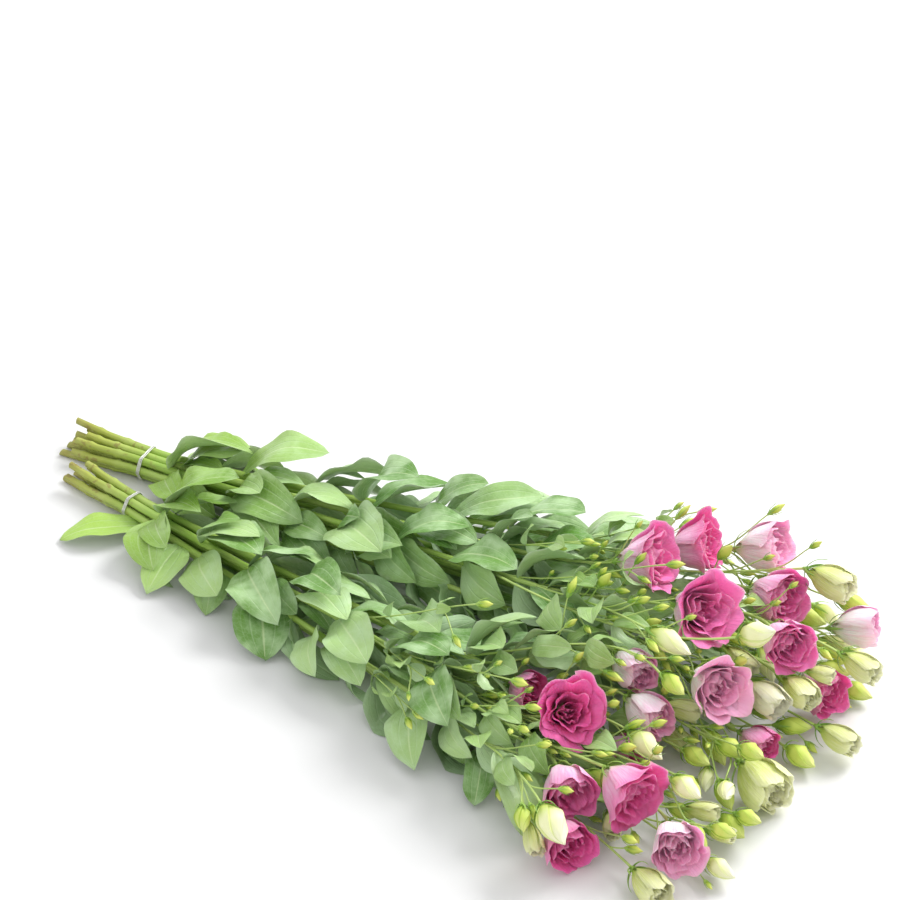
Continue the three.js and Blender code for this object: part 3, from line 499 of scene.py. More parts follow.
def make_heads():
    """Every flower and large bud with its base, axes and the size that its calyx has to clear."""
    heads = []
    for k, (stem, at, facing, radius, height, opening, tone) in enumerate(FLOWERS):
        tip = 1.03 * cup_radius(radius, opening, 0.34, along) + CLOSED_CALYX_ROOM
        heads.append({"name": f"flower_{k + 1:02d}", "key": 1000 + k, "stem": stem, "radius": radius,
                      "size": height, "opening": opening, "tone": tone, "calyx": (tip, 0.34 * height),
                      "rests": False, "at": np.array(at, float), "axes": head_axes(facing),
                      "dents": np.zeros(5)})
    for k, (stem, at, facing, radius, length, tone, state) in enumerate(BUDS):
        tip = radius + (RESTING_CALYX_ROOM if state == "rests" else CLOSED_CALYX_ROOM)
        heads.append({"name": f"bud_{k + 1:02d}", "key": 2000 + k, "stem": stem, "radius": radius,
                      "size": length, "opening": PARTED_OPENING if state == "parted" else None, "tone": tone,
                      "calyx": (tip, 0.36 * length), "rests": state == "rests", "at": np.array(at, float),
                      "axes": head_axes(facing), "dents": np.zeros(5)})
    for head in heads:
        axis, side, over = head["axes"]
        head["base"] = head["at"] - axis * head["size"] / 2
        if head["rests"]:
            radius, height = head["calyx"]
            a = even_angles(5)[:, None]
            tips = head["base"] + axis * height + radius * (np.cos(a) * side + np.sin(a) * over)
            head["base"] = head["base"] - UP * tips[:, 2].min()
    return heads


# A branch is found when more than so many of its nine corners are in the CAD node.
ENOUGH_CORNERS = 6


def find_branch(head):
    """The branch that the part gives a head, as (name of its stem, what branch_line takes before the
    shares). Stems and bows are gone through as the part does, and the one whose sections are in the CAD
    node is kept."""
    own = STEM_NAMED[head["stem"]]
    others = [s for s in STEMS if s["hand"] == own["hand"] and s is not own]
    others.sort(key=lambda s: abs(s["key"] - own["key"]))
    axis = head["axes"][0]
    end = head["base"] + axis * (1 - RECEPTACLE_HEIGHT)
    best = (0, None, None)
    for stem in [own, *others]:
        reach = np.linalg.norm(head["base"][:2] - np.array(HANDS[stem["hand"]]["tie"]))
        for attempt in range(BRANCH_ATTEMPTS):
            place = min(FORK - 2, reach - 75 - 50 * draw(head["key"], 7))
            start, way = on_stem(stem, place - BOW * math.ceil(attempt / BOW_TURNS), 2)
            ahead = (way + unit(head["base"] - start)) / 2
            route = (start, ahead, end, axis, attempt)
            line = branch_line(*route, np.linspace(0, 1, BRANCH_STEPS + 1))
            before, after = line[:-2], line[2:]
            side, over = across_of(unit(after - before))
            corners = [line[1:-1] + BRANCH_RADIUS * (math.cos(a) * side + math.sin(a) * over)
                       for a in even_angles(3)]
            found = hits(stem["name"], np.concatenate(corners))
            if found > best[0]:
                best = (found, stem["name"], route)
            if found > ENOUGH_CORNERS:
                return stem["name"], route
    return best[1], best[2]


# ---- Leaves ----
def leaf_outline(share, pointed):
    """Half-width of a leaf as a share of its greatest: it swells from a clasping base by a power, and
    falls to the tip by a cosine."""
    base = 0.2 + 0.8 * (1 - (1 - np.clip(share / 0.46, 0, 1)) ** 2.3)
    tip = np.cos(np.pi / 2 * np.clip((share - 0.46) / 0.54, 0, 1) ** 1.45) ** pointed
    return base * tip


def leaf_surface(foot, run, face_up, shape, rows, columns, key):
    """A leaf's middle surface over its length s and across it a, from -1 to 1. A point lies s along run,
    a times the outline across, and off their plane by an arch, a fold along the rib and waves along the
    edges. It lies on the floor where it would go through."""
    cross = np.cross(run, face_up)
    sin, cos = math.sin(shape["roll"]), math.cos(shape["roll"])
    leaf_cross, normal = cross * cos + face_up * sin, face_up * cos - cross * sin
    length, half = shape["length"], shape["width"] / 2
    s = np.linspace(0, 1, rows)[:, None]
    even = np.linspace(-1, 1, columns)[None, :]
    a = np.sign(even) * np.abs(even) ** 1.25
    width = leaf_outline(s, 0.62 + 0.5 * draw(key, 61)) * half
    width = width * (1 + 0.05 * np.sin(9 * s + 6 * draw(key, 62)) * (s * (1 - s) * 4))
    bend = shape["bulge"] * length * np.sin(np.pi * s) - shape["arch"] * length * s * s
    edge = shape["fold"] * (np.sqrt(a * a + 0.012) - 0.11) * width + shape["wave"] * a * np.sin(7 * s) * half
    frill = np.sin(np.pi * s) * a * a * half * (
        0.1 * np.sin(9 * s + 6 * draw(key, 63)) + 0.09 * a * np.sin(13 * s + 6 * draw(key, 64)))
    curl = (draw(key, 65) - 0.4) * 0.9 * length * np.clip(s - 0.62, 0, 1) ** 2
    buckle = 0.018 * length * np.sin(6 * s + 3 * a + 6 * draw(key, 66)) * np.sin(np.pi * s)
    drift = 0.05 * (draw(key, 67) - 0.5) * length * np.sin(np.pi * s)
    off = bend + edge + frill + curl + buckle
    points = foot + run * (length * s)[..., None] + leaf_cross * (a * width + drift)[..., None]
    points = points + normal * off[..., None]
    points[..., 2] = np.maximum(points[..., 2], FLOOR_CLEAR + 0.25 * np.abs(np.sin(9 * s + 5 * a)))
    return points, pairs(0.5 + 0.5 * a, s)


def stem_leaf(root, ahead, shape):
    """Where a leaf starts, the way that it runs and the way that its upper side looks, for a leaf that
    leaves its stem at the angle around it and at the angle rise from it."""
    side, over = across_of(ahead)
    out = side * math.cos(shape["around"]) + over * math.sin(shape["around"])
    run = ahead * math.cos(shape["rise"]) + out * math.sin(shape["rise"])
    face_up = -ahead * math.sin(shape["rise"]) + out * math.cos(shape["rise"])
    return root + out * shape["seat"], run, face_up


def leaf_shape(key, pair, mate, attempt, size=1.0):
    """The shape that a leaf tries on each attempt."""
    def pick(channel):
        return draw(key, pair, mate, attempt, channel)
    around = math.radians(90 * pair + 180 * mate + 45 * (key % 3))
    around = around + (pick(11) - 0.5) * (0.6 + 0.22 * attempt)
    own = size * (0.84 + 0.3 * draw(key, pair, mate, 12)) * (1 - 0.012 * attempt)
    return {
        "around": around,
        "seat": 0.5 * STEM_TOP_RADIUS,
        "rise": math.radians(18 + 36 * pick(13)),
        "roll": -0.8 * math.cos(around) + (pick(14) - 0.5) * 0.7,
        "length": LEAF_LENGTH * own,
        "width": LEAF_WIDTH * own * (0.85 + 0.3 * draw(key, pair, mate, 15)),
        "arch": 0.06 + 0.3 * pick(16),
        "bulge": 0.12,
        "fold": 0.08 + 0.3 * pick(17),
        "wave": 0.12 * (pick(18) - 0.5),
    }


def leaf_tip(foot, run, face_up, shape):
    """The tip of a leaf as the part has it."""
    cross = np.cross(run, face_up)
    normal = face_up * math.cos(shape["roll"]) - cross * math.sin(shape["roll"])
    tip = foot + run * shape["length"] - normal * shape["arch"] * shape["length"]
    return np.array([tip[0], tip[1], max(tip[2], FLOOR_CLEAR)])


def large_leaf(root, tip, width, bulge, seat, key, attempt):
    """One of the large leaves, from its stem to its tip, as (foot, run, face_up, shape)."""
    moved = [1.5 * attempt * (draw(key, attempt, channel) - 0.5) for channel in (41, 42, 43)]
    run = np.array(tip, float) + moved - root
    length = np.linalg.norm(run)
    run = run / length
    face_up = unit(UP - run * run[2])
    shape = {"length": length, "width": width, "arch": 0.0, "bulge": bulge, "fold": 0.16, "wave": 0.06,
             "roll": 0.08 * attempt * (draw(key, attempt, 44) - 0.5)}
    return root + run * seat, run, face_up, shape


# ---- What is already there, for the leaves and buds that are added ----
class Room:
    """Every coarse surface that is already placed, to find room for more."""

    def __init__(self):
        self.taken = []

    @staticmethod
    def tree(grid):
        """A search tree of a grid's faces, with the ends of its box."""
        points = grid.reshape(-1, 3)
        tree = BVHTree.FromPolygons(points.tolist(), grid_quads(*grid.shape[:2]).tolist())
        return tree, points.min(0), points.max(0)

    def take(self, grid, label):
        """Note a grid as taken, under a label."""
        self.taken.append((label, *self.tree(grid)))

    def free(self, grid, own=()):
        """Whether a grid crosses nothing but what has one of its own labels."""
        tree, low, high = self.tree(grid)
        return not any(
            label not in own and (lo <= high).all() and (hi >= low).all() and tree.overlap(taken)
            for label, taken, lo, hi in self.taken)


room = Room()


# ---- Greens: stems, branches, receptacles and sepals ----
KIND_STEM, KIND_CUT, KIND_SEPAL, KIND_BUD = 0.0, 1.0, 0.5, 0.75
STEM_SKINS = {stem["name"]: Skin() for stem in STEMS}
LEAF_SKINS = {stem["name"]: Skin() for stem in STEMS}


def leaf_places(stem):
    """Where along a stem its pairs of leaves are."""
    return [nominal + PAIR_SCATTER * (draw(stem["key"], pair, 31) - 0.5)
            for pair, nominal in enumerate(PAIR_PLACES)]


def add_stem(stem):
    """A main stem: a tube that tapers past the tie, swells a little at each pair of leaves, and is cut
    slantwise."""
    cut = CUT_BACK - 22 * draw(stem["key"], 2) * (stem["level"] > 0)
    places = np.concatenate([np.linspace(-cut, HELD[1], 44), np.linspace(HELD[1], FORK, 80)[1:]])
    line = stem_point(stem, places)
    taper = [(-cut, STEM_FLAT), (-40, STEM_FLAT), (HELD[0], STEM_RADIUS), (HELD[1], STEM_RADIUS),
             (FORK, STEM_TOP_RADIUS - 0.1)]
    stripped = [-18 - 10 * draw(stem["key"], 33), -52 + 8 * draw(stem["key"], 34)]
    knobs = sum(np.exp(-((places - p) / KNOB_WIDTH) ** 2) for p in leaf_places(stem) + stripped)
    rings = tube_rings(line, along(taper, places) * (1 + KNOB_SWELL * knobs), STEM_SIDES)
    ahead = direction(HANDS[stem["hand"]]["heading"], 0)
    slant = np.cos(even_angles(STEM_SIDES) + 6 * draw(stem["key"], 4))
    slant = 3.6 * (draw(stem["key"], 3) - 0.5) * slant
    rings[0] += ahead * slant[:, None]
    rings[1] += ahead * slant[:, None] * 0.4
    skin = STEM_SKINS[stem["name"]]
    tint = draw(stem["key"], 5)
    skin.pipe(rings, tube_uv(rings, places), cap=False, tint=tint, kind=KIND_STEM)
    shares = np.array([0.0, 0.55, 1.0])
    uv = pairs(np.linspace(0, 1, STEM_SIDES + 1)[None], shares[:, None])
    for ring, at_top in ((rings[0], False), (rings[-1], True)):
        disc = closed_rings(np.stack([ring.mean(0) + share * (ring - ring.mean(0)) for share in shares]))
        skin.grid(disc, uv, tint=tint, kind=KIND_CUT, flip=at_top)
    coarse = tube_rings(stem_point(stem, np.linspace(HELD[1], FORK, 16)), STEM_RADIUS, 6)
    room.take(closed_rings(coarse), stem["name"])


def revolve(skin, base, axes, profile, sides, **marks):
    """A surface of revolution about a head's axis, through (height, radius) knots."""
    axis, side, over = axes
    height, radius = np.array(profile, float).T
    ring = ring_of(even_angles(sides), side, over)
    rings = base + height[:, None, None] * axis + radius[:, None, None] * ring
    skin.pipe(rings, tube_uv(rings, height), **marks)


def add_calyx(skin, base, axes, tip_radius, tip_height, width, tint, key, rows=9, columns=5):
    """A receptacle like a small urn, and five slender sepals. A sepal's middle line is a quadratic Bezier
    from the urn to its tip, bowed out, and its width falls to the tip by a power."""
    axis, side, over = axes
    size = RECEPTACLE_HEIGHT * (tip_height / 13) ** 0.5
    wide = RECEPTACLE_RADIUS * (tip_height / 13) ** 0.5
    urn = [(-size, 0.42 * wide), (-0.62 * size, 0.66 * wide), (-0.3 * size, 0.95 * wide), (0, wide),
           (0.6, 0.75 * wide)]
    revolve(skin, base, axes, urn, 10, tint=tint, kind=KIND_SEPAL)
    t = np.linspace(0, 1, rows)
    for k in range(5):
        spread = 0.93 + 0.16 * (draw(key, k, 71) - 0.3)
        reach = tip_height * (1 + 0.25 * (draw(key, k, 72) - 0.5))
        a = 2 * np.pi * (k + 0.12 * (draw(key, k, 73) - 0.5)) / 5
        out, about = math.cos(a) * side + math.sin(a) * over, -math.sin(a) * side + math.cos(a) * over
        radius = (1 - t) ** 2 * 0.8 * wide + 2 * t * (1 - t) * 0.92 * tip_radius
        radius = radius + t * t * tip_radius * spread
        height = (1 - t) ** 2 * -0.35 * size + 2 * t * (1 - t) * 0.2 * reach + t * t * reach
        half = width * (1 - t) ** 0.75 * (0.75 + 0.6 * np.sin(np.pi * t))
        c = np.linspace(-1, 1, columns)[None, :]
        points = (base + (radius[:, None] - 0.35 * (c * half[:, None]) ** 2 / width)[..., None] * out
                  + height[:, None, None] * axis + (c * half[:, None])[..., None] * about)
        skin.blade(points, pairs(0.5 + 0.5 * c, t[:, None]), SEPAL_THICK, tint=tint, kind=KIND_SEPAL)


def add_branch(skin, line, radius, tint, sides):
    """A side branch: a tube, with its radius at each point."""
    rings = tube_rings(line, radius, sides)
    skin.pipe(rings, tube_uv(rings, 400 + lengths_of(line)), tint=tint, kind=KIND_STEM)


def add_small_bud(skin, tip, axes, length, radius, key):
    """A small green bud: a spindle of revolution, slightly twisted and ribbed, in five short sepals."""
    axis, side, over = axes
    s = np.array([0, 0.1, 0.25, 0.42, 0.6, 0.78, 0.92, 1.0])
    a = even_angles(12)
    wide = curve([(0, 0.42), (0.36, 1), (0.75, 0.56), (1, 0.05)], s) * radius
    angle = a[None, :] + 1.4 * s[:, None]
    ridged = wide[:, None] * (1 + 0.06 * np.cos(5 * a))[None, :]
    rings = tip + (length * s - 0.1 * length)[:, None, None] * axis
    rings = rings + ridged[..., None] * ring_of(angle, side, over)
    skin.pipe(rings, pairs(np.linspace(0, 1, 13)[None], s[:, None]), tint=draw(key, 74), kind=KIND_BUD)
    reach = radius * (1.2 + 0.7 * draw(key, 82))
    add_calyx(skin, tip - axis * 0.02 * length, axes, reach, 0.7 * length, 0.6, draw(key, 75), key, 6, 3)


# ---- Flowers ----
# Layers of petals from the outside in: how many, radius and height as shares of the outer cup, where the
# root is, how much of the flower's opening the layer has, and the least opening for the layer to be there.
PETAL_LAYERS = [
    (5, 1.0, 1.0, 0.02, 1.0, 0.0),
    (4, 0.8, 0.99, 0.03, 0.85, 0.0),
    (4, 0.58, 0.96, 0.04, 0.7, 0.0),
    (3, 0.36, 0.9, 0.05, 0.5, 0.0),
    (3, 0.19, 0.82, 0.06, 0.3, 0.65),
]


def ruffle(angle, level, key, layer):
    """How far a petal's rim stands in or out, as a share of the cup's radius: waves round the flower that
    grow with the cube of the height. The petals share them and they turn a little from layer to layer, so
    the folds lie in each other."""
    waves = sum(
        weight * np.sin(count * (angle + 0.22 * layer) + 6.28 * draw(key, 81 + n))
        for n, (count, weight) in enumerate([(2, 0.34), (5, 0.42), (8, 0.3), (13, 0.1)]))
    return waves * level ** 3


# The chord's square over which a dent falls off, for a circle of radius one.
DENT_SPREAD = 0.55


def pressed(head, angle, level):
    """What is left of a flower's radius at an angle and height where it is pressed in by its neighbours:
    each of five dents falls off with the square of the chord from its middle."""
    chord = 2 - 2 * np.cos(angle[..., None] - 2 * np.pi * (np.arange(5) + 0.07) / 5 - 0.2)
    return 1 - np.exp(-chord / DENT_SPREAD) @ head["dents"] * rise(0.06, 0.5, level)


def petal_surface(head, layer, petal, rows, columns):
    """One petal over its height t and across it a. It stands on the cup of its layer: its angle is its
    own turn plus a times its half-width, its radius the cup's there, more towards the edge that lies over
    the next petal, and its rim drops to the corners and is ruffled."""
    petals, scale, tall, root, openness, _ = PETAL_LAYERS[layer]
    key, opening = head["key"] + 50 * layer, head["opening"] * openness
    turn = 2 * np.pi * (petal + 0.15 * draw(key, petal, 3) + 0.5 * (layer % 2)) / petals + 0.2 * layer
    half_angle = np.pi / petals * 1.34
    t = (np.linspace(0, 1, rows) ** 0.85)[:, None]
    a = np.linspace(-1, 1, columns)[None, :]
    widen = 0.3 + 0.7 * rise(0, 0.34, t)
    angle = turn + a * half_angle * widen + 0.3 * t
    notch = 0.02 * np.sin(5 * a + 6 * draw(key, petal, 4)) + 0.012 * np.sin(13 * a + 6 * draw(key, petal, 5))
    rim = 0.04 + 0.16 * t ** 3
    level = t * (1 - rim * np.abs(a) ** 2.4) + notch * t ** 6
    level = level * (1 + 0.1 * (draw(key, petal, 6) - 0.5)) + root * (1 - t)
    lean = 1 + 0.16 * (draw(key, petal, 7) - 0.4) * t * t
    radius = scale * lean * cup_radius(head["radius"], opening, level) * (1 + 0.1 * a)
    frill = ruffle(angle, t, head["key"], layer) * head["radius"] * (0.07 + 0.13 * head["opening"])
    curl = 0.4 + 1.3 * draw(key, petal, 9)
    flare = 0.26 * curl * head["radius"] * max(opening - 0.3, 0) * (np.clip(t - 0.68, 0, 1) / 0.32) ** 1.4
    fold = 0.05 * head["radius"] * np.cos(np.pi * a) * np.sin(np.pi * t)
    radius = np.maximum(radius + frill * (1 - 0.25 * layer / 3) + flare - fold, 0.6)
    radius = radius * pressed(head, angle, level)
    height = level * head["size"] * tall - 0.5 * flare * np.clip(t - 0.76, 0, 1) / 0.24
    height = height + ruffle(angle + 0.5, t, head["key"] + 7, layer) * head["radius"] * 0.06
    axis, side, over = head["axes"]
    points = head["base"] + height[..., None] * axis + radius[..., None] * ring_of(angle, side, over)
    return points, pairs(0.5 + 0.5 * a, t)


def add_flower(skin, head, spare=0):
    """A flower: its layers of petals, each on a grid that has spare fewer rows and columns than a
    bloom's."""
    for layer, (petals, *_, least) in enumerate(PETAL_LAYERS):
        if head["opening"] < least:
            continue
        rows, columns = [count - spare for count in (OUTER_PETAL_GRID if layer < 2 else INNER_PETAL_GRID)]
        for petal in range(petals):
            points, uv = petal_surface(head, layer, petal, rows, columns)
            tint = 0.2 * layer + 0.35 * draw(head["key"], layer, petal, 8)
            skin.blade(points, uv, PETAL_THICK, tint=tint)


# ---- Large buds ----
def add_closed_bud(skin, head):
    """A closed bud: five petals wound round each other. The radius at a height follows a smooth profile,
    and within each petal it falls from the free edge to the next petal's, so that each edge stands as a
    step. The edges turn about the bud as they rise, faster near the tip."""
    axis, side, over = head["axes"]
    s = np.concatenate([np.linspace(0, 0.86, 22), [0.9, 0.935, 0.965, 0.985, 1.0]])
    w = np.array([0, 0.05, 0.13, 0.25, 0.4, 0.55, 0.7, 0.84, 0.94, 0.985])
    petal = np.repeat(np.arange(5), len(w))
    within = np.tile(w, 5)
    turn = 1.5 * s + 1.5 * np.clip(s - 0.45, 0, 1) ** 2
    angle = turn[:, None] + 2 * np.pi * (petal + within)[None, :] / 5
    knots = [(0, 0.2), (0.14, 0.62), (0.36, 0.98), (0.6, 0.86), (0.78, 0.58), (0.93, 0.22), (1, 0.04)]
    profile = curve(knots, s)
    step = 1 - 0.13 * within ** 0.8
    lip = 0.04 * np.exp(-((within - 0.03) / 0.05) ** 2)
    waves = 1 + 0.02 * np.sin(23 * s[:, None] + 2.4 * petal[None, :] + 5 * draw(head["key"], 76))
    radius = head["radius"] * profile[:, None] * (step + lip)[None, :] * waves
    height = GAP + head["size"] * (s[:, None] + 0.02 * np.sin(2 * np.pi * within)[None, :] * s[:, None] ** 3)
    rings = head["base"] + height[..., None] * axis + radius[..., None] * ring_of(angle, side, over)
    u = np.concatenate([petal + within, [5.0]]) / 5
    skin.pipe(rings, pairs(u[None], s[:, None]))


def add_head(skin, head, spare=0):
    """A closed bud, or an open flower or bud."""
    if head["opening"] is None:
        add_closed_bud(skin, head)
    else:
        add_flower(skin, head, spare)


# ---- Ties ----
def tie_skin(hand):
    """A band wound three times round a hand's packed stems: a thin round cord along the outline of the
    section, which swings a little along the stems as it goes round."""
    given = HANDS[hand]
    ahead, across = direction(given["heading"], 0), direction(given["heading"] + 90, 0)
    middle = np.array([*given["tie"], TIE_LIFT])
    rows = given["rows"]
    widest = (max(rows) - 1) / 2 * STEM_PITCH
    ends = [(count - 1) / 2 * STEM_PITCH for count in rows]
    corners = [(ends[0], 0), (widest, ROW_RISE), (ends[2], 2 * ROW_RISE),
               (-ends[2], 2 * ROW_RISE), (-widest, ROW_RISE), (-ends[0], 0)]
    outline = []
    for (y, z), centre in zip(corners, (-60, 0, 60, 120, 180, 240)):
        a = np.radians(centre + np.linspace(-28, 28, 9))
        outline.append(np.stack([y + np.cos(a) * STEM_RADIUS, z + np.sin(a) * STEM_RADIUS], 1))
    outline = np.concatenate(outline)
    outward = unit(outline - outline.mean(0))
    cord = GAP + 0.5 * TIE_THICK
    share = np.linspace(0, 2 * np.pi, len(outline), endpoint=False)
    skin = Skin()
    for wrap, (offset, r) in enumerate(zip((0.15, 0.5, 0.85), CORD_RADII)):
        swing = 0.35 * np.sin(share + 2.1 * wrap) + TIE_WIDE * offset
        line = outline + outward * (cord + 0.12 * np.sin(2 * share + wrap))[:, None]
        points = middle + swing[:, None] * ahead + line[:, :1] * across + line[:, 1:] * UP
        tangent = unit(np.roll(points, -1, 0) - np.roll(points, 1, 0))
        over = unit(np.cross(tangent, ahead))
        a = even_angles(10)
        rings = (points[:, None] + r * np.cos(a)[None, :, None] * ahead
                 + 1.05 * r * np.sin(a)[None, :, None] * over[:, None])
        rings = np.concatenate([rings, rings[:1]])
        skin.pipe(rings, tube_uv(rings, np.linspace(0, 120, len(rings))), cap=False)
    return skin


# ---- Laying the bunch out ----
heads = make_heads()
head_named = {head["name"]: head for head in heads}

for stem in STEMS:
    add_stem(stem)

for head in heads:
    head["stem"], head["route"] = find_branch(head)
    head["branch"] = branch_line(*head["route"], np.linspace(0, 1, 13))
    skin = STEM_SKINS[head["stem"]]
    fine = branch_line(*head["route"], np.linspace(0, 1, 26))
    size = 1.0 + 0.25 * (head["radius"] > 18)
    add_branch(skin, fine, np.interp(np.arange(26), [0, 6, 21, 25], [1.15, 0.95, 0.9, 1.1]) * size,
               draw(head["key"], 78), 10)
    add_calyx(skin, head["base"], head["axes"], *head["calyx"], 1.5, draw(head["key"], 79), head["key"])
    head["on"] = head["name"] + ":branch"
    room.take(closed_rings(tube_rings(head["branch"], 1.2, 5)), head["on"])


def head_surfaces(head):
    """Coarse surfaces of a head: a closed bud's outline turned about its axis, or its outer petals."""
    if head["opening"] is not None:
        return [petal_surface(head, 0, petal, 9, 9)[0] for petal in range(5)]
    axis, side, over = head["axes"]
    a = 2 * np.pi * np.arange(9)[None, :, None] / 8
    s = np.array([0, 0.2, 0.4, 0.7, 1.0])[:, None, None]
    wide = head["radius"] * curve([(0, 0.2), (0.36, 1), (0.78, 0.6), (1, 0.05)], s)
    return [head["base"] + s * head["size"] * axis + wide * (np.cos(a) * side + np.sin(a) * over)]


def take_heads(space, some_heads):
    """Note the room that heads take, each under its own name."""
    for head in some_heads:
        for grid in head_surfaces(head):
            space.take(grid, head["name"])


# Closed buds keep their form. Open heads are pressed in where they would go through a neighbour, by one
# small step in each round.
DENT_ROUNDS = 6
DENT_STEP = 0.05
open_heads = [head for head in heads if head["opening"] is not None]
take_heads(room, [head for head in heads if head["opening"] is None])
for _ in range(DENT_ROUNDS):
    petals_room = Room()
    take_heads(petals_room, open_heads)
    for head in open_heads:
        free = [room.free(grid, {head["on"]}) and petals_room.free(grid, {head["name"]})
                for grid in head_surfaces(head)]
        head["dents"] += DENT_STEP * np.logical_not(free)
take_heads(room, open_heads)


# Small green buds on twigs, as in the part.
def add_twig(stem, start, ahead, axes, tip, length, radius, key):
    """A small bud at the end of a twig that leaves a branch."""
    line = branch_line(start, ahead, tip, axes[0], 0, np.linspace(0, 1, 12))
    thickness = np.interp(np.arange(12), [0, 2, 10, 11], [0.9, 0.66, 0.56, 0.75])
    add_branch(STEM_SKINS[stem], line, thickness, draw(key, 80), 6)
    add_small_bud(STEM_SKINS[stem], tip, axes, length, radius, key)


def twig_room(start, ahead, axes, tip, length, radius):
    """Coarse surfaces of a twig and its bud."""
    line = branch_line(start, ahead, tip, axes[0], 0, np.linspace(0, 1, 5))
    stick = tube_rings(line[1:], 0.7, 4)
    bud = tube_rings(tip + np.linspace(-0.1, 1, 4)[:, None] * length * axes[0], radius, 5)
    return [closed_rings(stick), closed_rings(bud)]


def turned(ahead, key, attempt, spread, lift):
    """Axes of a head that turns off a direction by up to half the spread to the sides, and by the spread
    above or below it as the lift says."""
    return head_axes((math.degrees(math.atan2(ahead[1], ahead[0])) + spread * (draw(key, attempt, 23) - 0.5),
                      math.degrees(math.asin(ahead[2])) + spread * (draw(key, attempt, 24) - lift)))


for head in heads:
    if draw(head["key"], 21) > TWIG_SHARE:
        continue
    place = 6 if draw(head["key"], 22) < 0.5 else 9
    start, ahead = on_line(head["branch"], place)
    for attempt in range(TWIG_ATTEMPTS):
        axes = turned(ahead, head["key"], attempt, 50, 0.4)
        tip = start + axes[0] * (34 + 30 * draw(head["key"], attempt, 25))
        if hits(head["stem"], tip + axes[0] * TWIG_BUD_LENGTH):
            twig = (start, ahead, axes, tip, TWIG_BUD_LENGTH, TWIG_BUD_RADIUS)
            add_twig(head["stem"], *twig, head["key"] + 500)
            for grid in twig_room(*twig):
                room.take(grid, head["on"])
            break


# The leaves. Each is (stem, (foot, run, face_up), shape, key, young).
leaves = []


def keep_leaf(stem, group, placing, shape, key, young=0.0):
    """Keep a leaf, and the room that it takes."""
    grid, _ = leaf_surface(*placing, shape, *COARSE_LEAF_GRID, key)
    room.take(grid, f"{stem}:{group}")
    leaves.append((stem, placing, shape, key, young))


for k, (owner, place, tip, width, bulge) in enumerate(LARGE_LEAVES):
    if owner in head_named:
        stem, root, seat = head_named[owner]["stem"], head_named[owner]["branch"][place], 0.2 * BRANCH_RADIUS
    else:
        stem, root, seat = owner, stem_point(STEM_NAMED[owner], place), 0.5 * STEM_TOP_RADIUS
    for attempt in range(LARGE_LEAF_ATTEMPTS):
        *placing, shape = large_leaf(root, tip, width, bulge, seat, 3000 + k, attempt)
        if hits(stem, leaf_tip(*placing, shape)):
            keep_leaf(stem, f"large{k}", placing, shape, 3000 + k)
            break

missing = []
for stem in TOP_DOWN:
    for pair, place in enumerate(leaf_places(stem)):
        root, ahead = on_stem(stem, place, 2)
        for mate in (0, 1):
            for attempt in range(PAIR_ATTEMPTS):
                shape = leaf_shape(stem["key"], pair, mate, attempt)
                placing = stem_leaf(root, ahead, shape)
                if hits(stem["name"], leaf_tip(*placing, shape)):
                    key = 10 * stem["key"] + 2 * pair + mate
                    keep_leaf(stem["name"], f"pair{pair}", placing, shape, key)
                    break
            else:
                missing.append((stem, pair, mate, root, ahead))

for head in heads:
    if draw(head["key"], 51) > SIDE_LEAF_SHARE:
        continue
    place = 3 if draw(head["key"], 52) < 0.5 else 6
    for attempt in range(SIDE_LEAF_ATTEMPTS):
        shape = {**leaf_shape(head["key"], 0, 0, attempt, 0.72), "seat": 0.2 * BRANCH_RADIUS}
        placing = stem_leaf(*on_line(head["branch"], place), shape)
        if hits(head["stem"], leaf_tip(*placing, shape)):
            keep_leaf(head["stem"], head["name"], placing, shape, head["key"], 0.6)
            break


# More leaves, where there is room.
BOX_LOW = np.array(cad_low) / MM - SHIFT - [6, 6, 0.5]
BOX_HIGH = np.array(cad_high) / MM - SHIFT + [6, 6, 8]
# How far the foot of a leaf stands off the middle line of what carries it.
ON_STEM = 1.05
ON_BRANCH = 0.3
ON_TWIG = 0.2


def try_leaf(stem, group, root, ahead, key, pair, mate, size, seat, attempts, young, toward=None, upward=1.0,
             grows_on=None):
    """Add a leaf at the first attempt that is free. toward is the side of the stem that it grows to, in
    degrees, where that isn't left to the pair, upward is the most that it may point up, and grows_on is
    what carries it, where that isn't the stem."""
    for attempt in range(attempts):
        shape = {**leaf_shape(key, pair, mate, attempt, size), "seat": seat}
        if toward is not None:
            shape["around"] = math.radians(toward + 50 * (draw(key, pair, attempt, 19) - 0.5))
            shape["rise"] = math.radians(30 + 24 * draw(key, pair, attempt, 20))
        placing = stem_leaf(root, ahead, shape)
        grid, _ = leaf_surface(*placing, shape, *COARSE_LEAF_GRID, key + pair)
        inside = (grid.min(0) > BOX_LOW).all() and (grid.max(0) < BOX_HIGH).all()
        inside = inside and math.sin(shape["around"]) <= upward
        if inside and room.free(grid, {grows_on or stem, f"{stem}:{group}"}):
            keep_leaf(stem, group, placing, shape, key + pair, young)
            return


